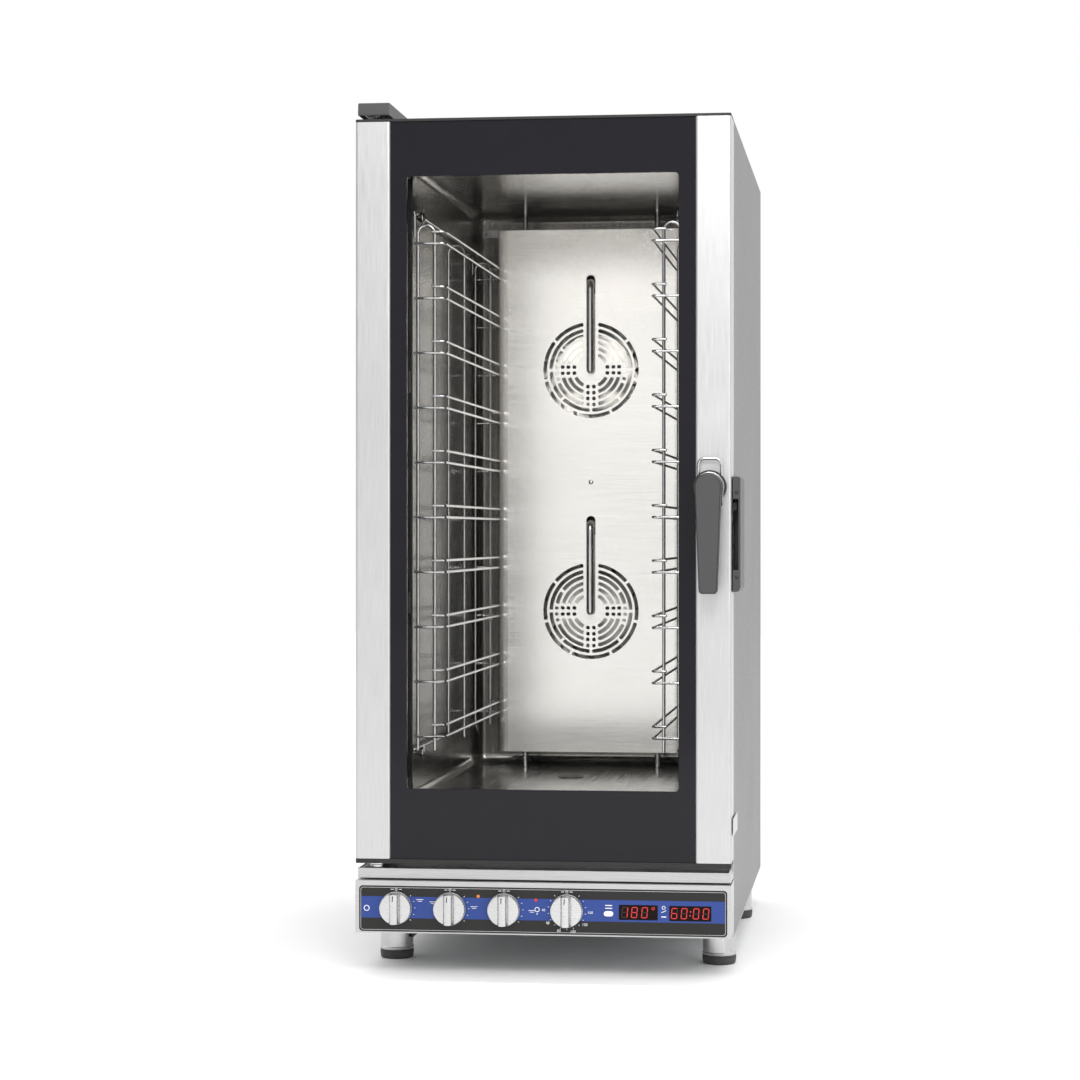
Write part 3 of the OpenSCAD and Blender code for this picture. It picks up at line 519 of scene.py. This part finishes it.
def grip_outline(r, foot_x, foot_z, foot_r):
    """Outline of the lever: half a circle round its axis, and two small rounds at its foot."""
    return (turn_arc(LEVER_X, LEVER_Z, r, 0, 180, 24)
            + turn_arc(LEVER_X - foot_x, foot_z, foot_r, 190, 270, 6)
            + turn_arc(LEVER_X + foot_x, foot_z, foot_r, 270, 350, 6))


def turned(name, profile, centre, mat, body, replaces, steps):
    """A piece turned round an axis along Y."""
    bm = bmesh.new()
    lathe(bm, profile, centre, "y", steps)
    bmesh.ops.recalc_face_normals(bm, faces=bm.faces)
    place_mesh(name, bm, mat, body, replaces)


bm = plate([grip_outline(18.6, 8, 556, 5)], -53.4, -34, 1.6)
merge(bm, plate([grip_outline(17.0, 7.4, 556.6, 4.0)], -54, -50, 0.6))
lathe(bm, [(0, -34.4), (14.2, -34.4), (14.6, -33), (13.6, -31), (13.6, -23), (15, -20.4), (0, -20.4)],
      LEVER, "y", 40)
bmesh.ops.recalc_face_normals(bm, faces=bm.faces)
place_mesh("lever_grip", bm, "grey_plastic", "lever", ["handle_grip"])
bm = plate([grip_outline(18.9, 8, 556, 5.3)], -45.2, -43.8, 0.2)
place_mesh("lever_parting_line", bm, "black_plastic", "lever")
backing = (turn_arc(LEVER_X, LEVER_Z, 21, -20, 180, 26) + [(223.5, 672), (256.5, 672)]
           + turn_arc(254.5, 676, 6, -60, 40, 5))
bm = plate([backing], -20, -16.1, 0.5)
place_mesh("lever_backing", bm, "wire_stainless", "lever", ["handle_backplate"])
turned("lever_collar", [(6.1, -16), (22.6, -16), (23.5, -15.2), (23.5, -11.2), (22.9, -10.6), (22.9, -9.6),
                        (23.5, -9), (23.5, -1.4), (22.7, -0.6), (6.1, -0.6)],
       LEVER, "black_plastic", "lever", ["handle_collar"], 64)
BAIL_LEFT, BAIL_RIGHT, BAIL_Y, BAIL_R = 224, 257, -9, 2
BAIL_FOOT, BAIL_TOP = 722, 741
bm = bmesh.new()
tube(bm, path(at(BAIL_LEFT, BAIL_Y, BAIL_FOOT), at(BAIL_LEFT, BAIL_Y, BAIL_TOP),
              at(BAIL_RIGHT, BAIL_Y, BAIL_TOP), at(BAIL_RIGHT, BAIL_Y, BAIL_FOOT), r=9), BAIL_R, 14)
for x in (BAIL_LEFT, BAIL_RIGHT):
    tube(bm, [at(x, BAIL_Y, BAIL_FOOT), at(x, BAIL_Y, BAIL_FOOT - 6)], BAIL_R, 14)
place_mesh("lever_bail", bm, "wire_stainless", "lever", ["handle_bail"])
# painted shade: the spindle is near-black because its tongue sits in the shade of the keeper's slot
bevelled("latch_spindle", 0.6, "dark_steel_and_painted_shade")
# a dark border round the face of the grip
bm = plate([grip_outline(18.3, 8, 556, 4.8), grip_outline(17.3, 7.6, 556.4, 4.2)[::-1]], -53.4, -52.2, 0.2)
place_mesh("lever_border", bm, "black_plastic", "lever")
bevelled("door_bushes", 0.4)

# ---------------------------------------------------------------- control panel
def strip(x0, x1, z0, z1):
    """Outline of a rectangle."""
    return [(x0, z0), (x1, z0), (x1, z1), (x0, z1)]


def inked(name, shapes, mat, y0=-0.58, y1=-0.5):
    """Printing on the control foil: each shape is a list of outlines, the later ones holes."""
    bm = bmesh.new()
    for loops in shapes:
        merge(bm, plate(loops, y0, y1))
    place_mesh(name, bm, mat, "cabinet")


def ring(x, z, r, w):
    """Outlines of a ring of width w."""
    return [circle(x, z, r), circle(x, z, r - w, 24)[::-1]]


def bar(x0, z0, x1, z1, w):
    """Outline of a straight stroke of width w."""
    d = Vector((x1 - x0, z1 - z0)).normalized() * w / 2
    return [[(x0 - d.y, z0 + d.x), (x0 + d.y, z0 - d.x), (x1 + d.y, z1 - d.x), (x1 - d.y, z1 + d.x)][::-1]]


def number(text, x, z, size):
    """Digits of a dial, as a bmesh in the panel's plane."""
    curve = bpy.data.curves.new("digits", "FONT")
    curve.body, curve.size = text, size * MM
    curve.align_x, curve.align_y = "CENTER", "CENTER"
    o = bpy.data.objects.new("digits", curve)
    scene.collection.objects.link(o)
    dg = bpy.context.evaluated_depsgraph_get()
    mesh = bpy.data.meshes.new_from_object(o.evaluated_get(dg))
    bm = bmesh.new()
    bm.from_mesh(mesh)
    bpy.data.objects.remove(o)
    bpy.data.curves.remove(curve)
    bpy.data.meshes.remove(mesh)
    for v in bm.verts:
        v.co = (v.co.x + x * MM, FRONT - 0.6 * MM, v.co.y + z * MM)
    return bm


KNOBS = (-210.4, -132.3, -54.1, 36.2)
KNOB_Z = 98.9
DISPLAYS = ((110.5, 166, 86.8, 108.4), (182.3, 242, 86.3, 108))
bm = plate([rounded(-264.5, 264.5, 64.6, 130.2, 5)], -0.5, 0, 0.12)
place_mesh("membrane_base", bm, "panel_foil", "cabinet", ["control_membrane"])
inked("membrane_band", [[strip(-261.2, 261.2, 84, 114.8)]], "foil_blue", -0.54, -0.5)
outer, inner = rounded(-262.2, 262.2, 66.9, 127.9, 3.6), rounded(-261.7, 261.7, 67.4, 127.4, 3.1)
inked("membrane_line", [[outer, inner[::-1]]], "wire_stainless")
prints = [ring(-253.4, 97.9, 4.2, 1.1), ring(-6.5, 99.5, 3.6, 1.0), ring(-6.5, 93.2, 0.9, 0.6)]
MARK_IN, MARK_OUT, SIGN_Z = 26, 28, 125.2
for k, x in enumerate(KNOBS):  # small marks round the dials, and a plain sign over each of them
    if k < 3:
        marks = [(math.cos(math.radians(a)), math.sin(math.radians(a))) for a in (40, 20, 0, -20, -40)]
    else:
        marks = [(math.sin(math.radians(a)), -math.cos(math.radians(a))) for a in range(-140, 141, 20)]
    for c, q in marks:
        prints.append(bar(x + MARK_IN * c, KNOB_Z + MARK_IN * q,
                          x + MARK_OUT * c, KNOB_Z + MARK_OUT * q, 0.7))
    prints += [bar(x - 8.2, SIGN_Z, x - 3.8, SIGN_Z, 0.9), ring(x, SIGN_Z, 1.9, 0.6),
               bar(x + 3.8, SIGN_Z, x + 8.2, SIGN_Z, 0.9)]
for x, z in ((-176, 111), (-97.5, 102), (-157, 108), (-14, 98)):
    prints.append(bar(x - 5, z, x + 5, z, 0.8))
    prints.append(bar(x - 3, z - 2.4, x + 3, z - 2.4, 0.7))
for z in (104, 100):
    prints.append(bar(91, z + 3, 101, z + 3, 1.3))
prints += [ring(174.4, 105, 2.6, 0.8), bar(171, 98, 178, 101, 0.9), bar(171, 92, 178, 92, 1.5)]
inked("membrane_print", prints, "foil_print")
bm = bmesh.new()
for k, text in enumerate(("40", "60", "80", "100", "120", "150")):
    a = math.radians(-90 + 35 * k)
    merge(bm, number(text, KNOBS[3] - 33.5 * math.sin(-a), KNOB_Z - 31 * math.cos(a), 5.2))
merge(bm, number("0", KNOBS[3] - 27, KNOB_Z - 19, 5))
place_mesh("dial_numbers", bm, "foil_print", "cabinet")

# seven-segment read-outs
SEGMENTS = {"0": "abcdef", "1": "bc", "6": "acdefg", "8": "abcdefg", "o": "abgf"}
DIGIT_W, DIGIT_H, LEAN = 7.6, 14.4, 0.09


def digit(lit, dim, ch, x, z, w=DIGIT_W, h=DIGIT_H, t=1.2):
    """Adds the segments of one digit centred at x, z to the lit and the dim outlines; t is their width."""
    m, g = h / 2, t / 2
    e = w / 2
    ends = {"a": ((-e, m), (e, m)), "b": ((e, m), (e, 0)), "c": ((e, 0), (e, -m)), "d": ((-e, -m), (e, -m)),
            "e": ((-e, -m), (-e, 0)), "f": ((-e, 0), (-e, m)), "g": ((-e, 0), (e, 0))}
    for name, (p, q) in ends.items():
        p, q = Vector(p), Vector(q)
        d = (q - p).normalized()
        n = Vector((-d.y, d.x)) * g
        p, q = p + d * (g * 0.35), q - d * (g * 0.35)
        shape = [p, p + d * g - n, q - d * g - n, q, q - d * g + n, p + d * g + n]
        (lit if name in SEGMENTS[ch] else dim).append([[(x + v.x + v.y * LEAN, z + v.y) for v in shape]])


lit, dim = [], []
for ch, x in (("1", 119), ("8", 132.6), ("0", 147.2)):
    digit(lit, dim, ch, x, 97.6)
digit(lit, [], "o", 159.3, 102, 3.6, 6.4, 1.0)
for ch, x in (("6", 189.5), ("0", 203.4), ("0", 220.4), ("0", 234.3)):
    digit(lit, dim, ch, x, 97.2)
for z in (94.4, 100):
    lit.append([circle(212.2 + (z - 97) * LEAN, z, 1.1, 16)])
inked("readout_lit", lit, "led_lit", -0.62, -0.56)
inked("readout_dim", dim, "led_dim", -0.60, -0.56)
bm = bmesh.new()
for d in DISPLAYS:
    merge(bm, plate([rounded(*d, 0.8)], -0.56, 2.8, 0.05))
place_mesh("readout_windows", bm, "display_glass", "cabinet", ["display_windows"])
for name, centre, mat in (("lamp_red", at(-8.5, 0, 112.7), "lamp_plastic"),
                          ("lamp_amber", at(-91.5, 0, 116.9), "lamp_orange")):
    turned(name, [(0, -1.8), (1.2, -1.6), (1.9, -1.2), (2.4, -0.6), (2.4, 8.5), (0, 8.5)],
           centre, mat, "cabinet", ["indicator_lamps"], 24)
BUTTON_Z, BUTTON_R = 95.4, 3.8
capsule = turn_arc(98.9, BUTTON_Z, BUTTON_R, -90, 90, 12) + turn_arc(92.9, BUTTON_Z, BUTTON_R, 90, 270, 12)
bm = plate([capsule], -2.6, 5.8, 0.7)
for x in (93.5, 95.9, 98.3):
    merge(bm, plate([circle(x, BUTTON_Z, 0.55, 12)], -2.68, -2.5), 1)
place_mesh("start_button", bm, ["button_white", "panel_foil"], "button", ["push_button"])

BAR_HALF, BAR_STEPS, BAR_R, BAR_BASE, BAR_H = 7.6, 12, 22.4, -12, 12.6  # the finger bar of a knob
for k, x in enumerate(KNOBS):
    c = at(x, 0, KNOB_Z)
    bm = bmesh.new()
    lathe(bm, [(0, -1), (22.0, -1), (23.2, -2.2), (23.2, -3.4), (22.7, -3.9), (22.9, -11.0), (22.2, -12.0),
               (21.0, -12.4), (0, -12.6)], c, "y", 72)
    lathe(bm, [(0, -2), (3, -2), (3, 13.2), (2.4, 13.8), (0, 13.8)], c, "y", 24)
    # the bar is crowned, so that it shades like a half round
    for i in range(BAR_STEPS):
        us = [-BAR_HALF + 2 * BAR_HALF * j / BAR_STEPS for j in (i, i + 1)]
        ends = [math.sqrt(BAR_R ** 2 - u * u) for u in us]
        tops = [BAR_BASE - 0.2 - BAR_H * math.sqrt(max(1 - (u / 7.62) ** 4, 0)) for u in us]
        low, high = ([(u, y, s * (end - 1.2)) for u, y, end in zip(us, tops, ends)] for s in (-1, 1))
        foot, head = ([(u, BAR_BASE, s * end) for u, end in zip(us, ends)] for s in (-1, 1))
        v = [bm.verts.new(at(x + u, y, KNOB_Z + z)) for u, y, z in low + high[::-1] + foot + head[::-1]]
        bm.faces.new((v[0], v[1], v[2], v[3]))
        bm.faces.new((v[4], v[5], v[1], v[0]))
        bm.faces.new((v[3], v[2], v[6], v[7]))
    bmesh.ops.remove_doubles(bm, verts=bm.verts, dist=1e-6)
    bmesh.ops.recalc_face_normals(bm, faces=bm.faces)
    # the pointer is a real dark engraved mark, in the near-black material
    pointer = [(x + dx, KNOB_Z + dz) for dx, dz in ((-1.6, 11.4), (-0.5, 11.4), (0.1, 19.4), (-1.2, 19.4))]
    merge(bm, plate([pointer], -25, -24.6), 1)
    knob = "knob_%d" % (k + 1)
    place_mesh("dial_%d" % (k + 1), bm, ["knob_silver", "painted_shade_and_mark_black"], knob, [knob])

# ---------------------------------------------------------------- cavity
CAVITY_HALF, CAVITY_FRONT, CAVITY_BACK = 205, 66.4, 700
CAVITY_FLOOR, CAVITY_TOP, CAVITY_R = 245, 1176, 15
bm = bmesh.new()
bmesh.ops.create_cube(bm, size=1)
for v in bm.verts:
    v.co = at(CAVITY_HALF if v.co.x > 0 else -CAVITY_HALF, CAVITY_BACK if v.co.y > 0 else CAVITY_FRONT,
              CAVITY_TOP if v.co.z > 0 else CAVITY_FLOOR)
front = [f for f in bm.faces if f.normal.y < -0.5]
bmesh.ops.delete(bm, geom=front, context="FACES_ONLY")
edges = [e for e in bm.edges if len(e.link_faces) == 2]
bmesh.ops.bevel(bm, geom=edges, offset=CAVITY_R * MM, segments=6, affect="EDGES", profile=0.5)
bmesh.ops.reverse_faces(bm, faces=bm.faces)
for f in bm.faces:  # painted light and shade: the floor and its rounded edges get the lighter copy of the stainless, brighter than the walls, which get the darker one
    f.material_index = 1 if f.calc_center_median().z < (CAVITY_FLOOR + CAVITY_R + 2) * MM else 0
place_mesh("cavity_liner", bm, ["cavity_stainless", "floor_stainless"], "cabinet",
           ["cavity_shell"])

FANS = (907, 506.5)
RINGS = (28, 38, 47.5, 57.5, 66.5, 76.6)
# ring slots, the ribs between them and the plain strip behind the steam tube
SLOT_HALF, SLOT_R, RIB_W, STRIP_HALF = 3.0, 1.2, 3.2, 12


def slot_end(r, a):
    """The two points that end a slot at angle a."""
    return [((r + side) * math.cos(a), (r + side) * math.sin(a))
            for side in (SLOT_HALF - SLOT_R, SLOT_R - SLOT_HALF)]


def ring_pieces(z, r, ribs):
    """Outlines of one ring slot, cut by ribs (angle, shift) and by the strip behind the steam tube."""
    steps, runs, run = 720, [], []

    def open_at(a):
        px, pz = r * math.cos(a), r * math.sin(a)
        if pz > 0 and abs(px) < STRIP_HALF + 0.4:
            return False
        for angle, shift in ribs:
            q = math.radians(angle)
            along, side = px * math.cos(q) + pz * math.sin(q), -px * math.sin(q) + pz * math.cos(q)
            if along > 0 and abs(side - shift) < RIB_W / 2 + 0.5:
                return False
        return True

    for i in range(steps + 1):
        a = math.pi / 2 + 2 * math.pi * i / steps
        if open_at(a):
            run.append(a)
        elif run:
            runs.append(run)
            run = []
    if run:
        runs.append(run)
    shapes = []
    for run in runs:
        if (run[-1] - run[0]) * r < 2:
            continue
        n = max(3, int((run[-1] - run[0]) * r / 3))
        angles = [run[0] + (run[-1] - run[0]) * i / n for i in range(n + 1)]
        c = 1.1 / r
        sweep = [angles[0] + c] + angles[1:-1] + [angles[-1] - c]
        pts = [((r + SLOT_HALF) * math.cos(a), (r + SLOT_HALF) * math.sin(a)) for a in sweep]
        pts += slot_end(r, angles[-1])
        pts += [((r - SLOT_HALF) * math.cos(a), (r - SLOT_HALF) * math.sin(a)) for a in reversed(sweep)]
        pts += reversed(slot_end(r, angles[0]))
        shapes.append([(x, z + y) for x, y in pts][::-1])
    return shapes


BAFFLE_Y, SCREW_Z, KEY_R = 611, 720.7, 7.5
holes = [circle(0, SCREW_Z, 2.4, 20)[::-1]]
for z in FANS:
    for i, r in enumerate(RINGS):
        if i == 5:
            ribs = [(90 + k * 360 / 7, 0) for k in range(1, 7)]
        elif i == 4:
            ribs = [(k, 0) for k in (0, -45, -90, -135, 180)]
        elif i == 3:
            ribs = [(k, 0) for k in (-20, 200, 145, 35)]
        else:
            ribs = []
        if i < 4:
            ribs += [(k, d) for k in (0, 180, -90) for d in (-10, 0, 10)]
        holes += ring_pieces(z, r, ribs)
    low, top = z + 127, z + 150.5
    arch = turn_arc(0, top, KEY_R, 0, 180, 12)[1:-1]
    keyhole = [(KEY_R, low), (KEY_R, top)] + arch + [(-KEY_R, top), (-KEY_R, low)]
    holes.append(keyhole[::-1])
bm = plate([rounded(-139, 139, 272.2, 1140.6, 0.2)] + holes, BAFFLE_Y, BAFFLE_Y + 1.5, 0.25)
for s in (-1, 1):
    fold = [(138.6, 611), (144, 611.2), (149, 612), (153, 613.8), (156, 617), (157.6, 622), (157.8, 633)]
    rows = [[bm.verts.new(at(s * x, y, z)) for x, y in fold] for z in (272.6, 276, 1136, 1140.2)]
    for a, b in zip(rows, rows[1:]):
        for k in range(len(fold) - 1):
            f = bm.faces.new((a[k], a[k + 1], b[k + 1], b[k]))
            if s < 0:
                f.normal_flip()
place_mesh("baffle_panel", bm, "baffle_stainless", "cabinet", ["fan_baffle"], angle=28)
# painted shade: dark plates behind the grille darken its small square holes, and a dark strip runs along the
# baffle's top edge
bm = plate([strip(-139, 139, 1140.2, 1141)], 611.4, 621)
for z in FANS:
    for angle in (0, 180, 270):
        c, q = math.cos(math.radians(angle)), math.sin(math.radians(angle))
        arm = ((24, -9.5), (51.5, -9.5), (51.5, 9.5), (24, 9.5))
        merge(bm, plate([[(x * c - w * q, z + x * q + w * c) for x, w in arm]], 613, 614))
place_mesh("grille_shade_plates", bm, "painted_shade_and_mark_black", "cabinet")
bm = bmesh.new()
for s in (-1, 1):
    eye = circle(s * 175, 1134.5, 2.4, 16)[::-1]
    merge(bm, plate([rounded(*sorted((s * 155, s * 181)), 1128, 1141, 1.5), eye], 606, 607.5, 0.2))
    merge(bm, plate([rounded(*sorted((s * 155, s * 158)), 1128, 1138, 0.5)], 607, 612, 0.2))
    lathe(bm, [(0, CAVITY_FLOOR), (9, CAVITY_FLOOR), (9, 247), (6.2, 248.5), (5, 253), (5, 1168),
               (6.2, 1172.5), (9, 1174), (9, CAVITY_TOP), (0, CAVITY_TOP)], at(s * 110.5, 617.6, 0), "z", 32)
bmesh.ops.recalc_face_normals(bm, faces=bm.faces)
place_mesh("baffle_hangers", bm, "wire_stainless", "cabinet", ["baffle_posts"])

TUBE_Y, TUBE_R, TUBE_RISE, TUBE_BEND = 602.4, 6.5, 146, 12
bm = bmesh.new()
for z in FANS:
    tube(bm, path(at(0, TUBE_Y, z), at(0, TUBE_Y, z + TUBE_RISE), at(0, 764, z + TUBE_RISE), r=TUBE_BEND),
         TUBE_R, 24)
place_mesh("steam_injectors", bm, "tube_stainless", "cabinet", ["steam_tubes"])
bm = bmesh.new()
for z in (573.5, 693.5):
    lathe(bm, [(0, 8.8), (1.8, 8.9), (2.6, 9.5), (2.6, 10), (1.5, 10), (1.5, 28), (0, 28)],
          at(277.5, 0, z), "y", 20)
lathe(bm, [(0, 609), (2.6, 609.1), (3.8, 609.9), (4, BAFFLE_Y), (2.4, BAFFLE_Y), (2.4, 625), (0, 625)],
      at(0, 0, SCREW_Z), "y", 24, 1)
bmesh.ops.recalc_face_normals(bm, faces=bm.faces)
place_mesh("screw_heads", bm, ["dark_steel_and_painted_shade", "wire_stainless"], "cabinet", ["screws"])

BLADES, BLADE_STEPS, BLADE_IN, BLADE_OUT, BLADE_TWIST = 18, 5, 69, 99, math.radians(14)
for z, body in zip(FANS, ("upper_fan", "lower_fan")):
    c = at(0, 0, z)
    bm = bmesh.new()
    lathe(bm, [(0, 650), (14, 650), (17, 652), (22, 654), (58, 662), (64, 668), (66, 687.6), (104.6, 687.6),
               (105, 688), (105, 689.6), (104.6, 690), (0, 690)], c, "y", 72)
    lathe(bm, [(91, 640), (92, 641.6), (104, 642), (105, 641), (104, 640.2), (91, 640)], c, "y", 72)
    lathe(bm, [(0, 689), (6, 689), (6, 772), (0, 772)], c, "y", 24)
    lathe(bm, [(0, 644), (8, 644), (8.6, 645), (8.6, 650.5), (0, 650.5)], c, "y", 6)
    start = len(bm.faces)
    for k in range(BLADES):
        a = math.radians(360 / BLADES * k)
        rows = []
        for y in (641, 689):
            row = []
            for j in range(BLADE_STEPS + 1):
                r = BLADE_IN + (BLADE_OUT - BLADE_IN) * j / BLADE_STEPS
                q = a + BLADE_TWIST * (j / BLADE_STEPS) ** 0.7
                row.append(bm.verts.new(c + Vector((r * MM * math.cos(q), y * MM, r * MM * math.sin(q)))))
            rows.append(row)
        for j in range(BLADE_STEPS):
            bm.faces.new((rows[0][j], rows[0][j + 1], rows[1][j + 1], rows[1][j]))
    bm.faces.ensure_lookup_table()
    for f in bm.faces[start:]:
        f.material_index = 1
    wheel = "fan_wheel_" + body.split("_")[0]
    bmesh.ops.recalc_face_normals(bm, faces=bm.faces)
    place_mesh(wheel + "_detail", bm, ["fan_dish", "fan_blade"], body, [wheel])

COIL_R = 130
bm = bmesh.new()
for z in FANS:
    for y in (645, 660, 675):
        tube(bm, [at(px, y, pz) for px, pz in circle(0, z, COIL_R, 72)], 4.2, closed=True)
    for x in (-35.7, 35.7):
        tube(bm, [at(x, 645, z - 125), at(x, 756, z - 125)], 4.8)
place_mesh("heater_coils", bm, "heater_sheath", "cabinet", ["heating_elements"])

# wire racks
LEVELS, PITCH, TOP_RAIL, RAIL_DROP, RAIL_X = 10, 80, 1076, 17, 152
INNER_X, OUTER_X, UPRIGHT_R, WIRE_R, LOOP_Z = 168, 193, 2.5, 2, 1073.5
BAR_X, DROP_X, FRONT_Y, BACK_Y = 198.1, 197.6, 76, 603
BARS = (1104.9, 319.5)


def rack(side, name):
    """Three looped uprights, a hanging bar at the top and at the bottom, and two wires for each level."""
    bm = bmesh.new()

    def p(x, y, z):
        return at(side * x, y, z)

    for y in (FRONT_Y, 339.5, BACK_Y):
        loop = turn_arc((INNER_X + OUTER_X) / 2, LOOP_Z, (OUTER_X - INNER_X) / 2, 180, 0, 12)
        tube(bm, [p(INNER_X, y, 319)] + [p(x, y, z) for x, z in loop] + [p(OUTER_X, y, 319)], UPRIGHT_R)
    for z in BARS:
        tube(bm, [p(BAR_X, FRONT_Y - 2, z), p(BAR_X, BACK_Y + 2, z)], UPRIGHT_R)
    for y in (FRONT_Y, BACK_Y):
        tube(bm, [p(DROP_X, y, 1068), p(DROP_X, y, 1103)], WIRE_R)
    welds = []
    for i in range(LEVELS):
        rail = TOP_RAIL - PITCH * i
        for z, leg, uprights in ((rail, 171, (INNER_X,)), (rail - RAIL_DROP, 196, (INNER_X, OUTER_X))):
            corners = (p(leg, 71.4, z), p(RAIL_X, 71.4, z), p(RAIL_X, 607.6, z), p(leg, 607.6, z))
            tube(bm, path(*corners), WIRE_R, 10)
            welds += [p(x, y, z) for x in uprights for y in (73.6, 605.4)]
    for c in welds:
        bmesh.ops.create_icosphere(bm, subdivisions=1, radius=2.3 * MM, matrix=Matrix.Translation(c))
    bmesh.ops.recalc_face_normals(bm, faces=bm.faces)
    place_mesh(name + "_wires", bm, "wire_stainless", name, [name])


rack(-1, "left_rack")
rack(1, "right_rack")
STUD = ((0, 186), (8.6, 186.1), (9.7, 186.6), (10, 187.4), (9.7, 188.3), (5.2, 193.4), (3.6, 196), (3, 198.5),
        (3, 203.6), (5, 204.4), (5, CAVITY_HALF), (0, CAVITY_HALF))
bm = bmesh.new()
for s in (-1, 1):
    for z in (1099, 313.6):
        for y in (90, 588):
            lathe(bm, [(r, s * x) for r, x in STUD], at(0, y, z), "x", 32)
bmesh.ops.recalc_face_normals(bm, faces=bm.faces)
place_mesh("hanging_studs", bm, "wire_stainless", "cabinet", ["rack_studs"])
bevelled("drain_strainer", 0.3)

# ---------------------------------------------------------------- back and top
REAR_Y, ROOF_Z = 850, 1230


def screw(bm, x, y, z, axis):
    """A pan head on the back (axis y) or on the roof (axis z)."""
    base = REAR_Y if axis == "y" else ROOF_Z
    head = [(0, base + 2.2), (2.6, base + 2), (4, base + 1), (4.2, base), (0, base)]
    lathe(bm, head, at(x, y, z), axis, 20)


bevelled("back_panel", 0.3)
bm = bmesh.new()
for x in (-255, -90, 90, 255):
    for z in (80, 1210):
        screw(bm, x, 0, z, "y")
for z in (360, 640, 920):
    for x in (-255, 255):
        screw(bm, x, 0, z, "y")
for x in (-255, 255):
    for y in (200, 500, 800):
        screw(bm, x, y, 0, "z")
bmesh.ops.recalc_face_normals(bm, faces=bm.faces)
place_mesh("panel_screws", bm, "zinc_steel", "cabinet")
LOUVRE_W, LOUVRE_EDGE = 86, 6
bm = bmesh.new()
for z0, z1 in ((292, 556), (852, 1056)):
    for x0 in (-138, 52):
        x1 = x0 + LOUVRE_W
        inside = rounded(x0 + LOUVRE_EDGE, x1 - LOUVRE_EDGE, z0 + LOUVRE_EDGE, z1 - LOUVRE_EDGE, 2)
        merge(bm, plate([rounded(x0, x1, z0, z1, 4), inside[::-1]], REAR_Y - 0.4, REAR_Y + 1.2, 0.4))
place_mesh("louvre_frames", bm, "side_stainless", "cabinet")
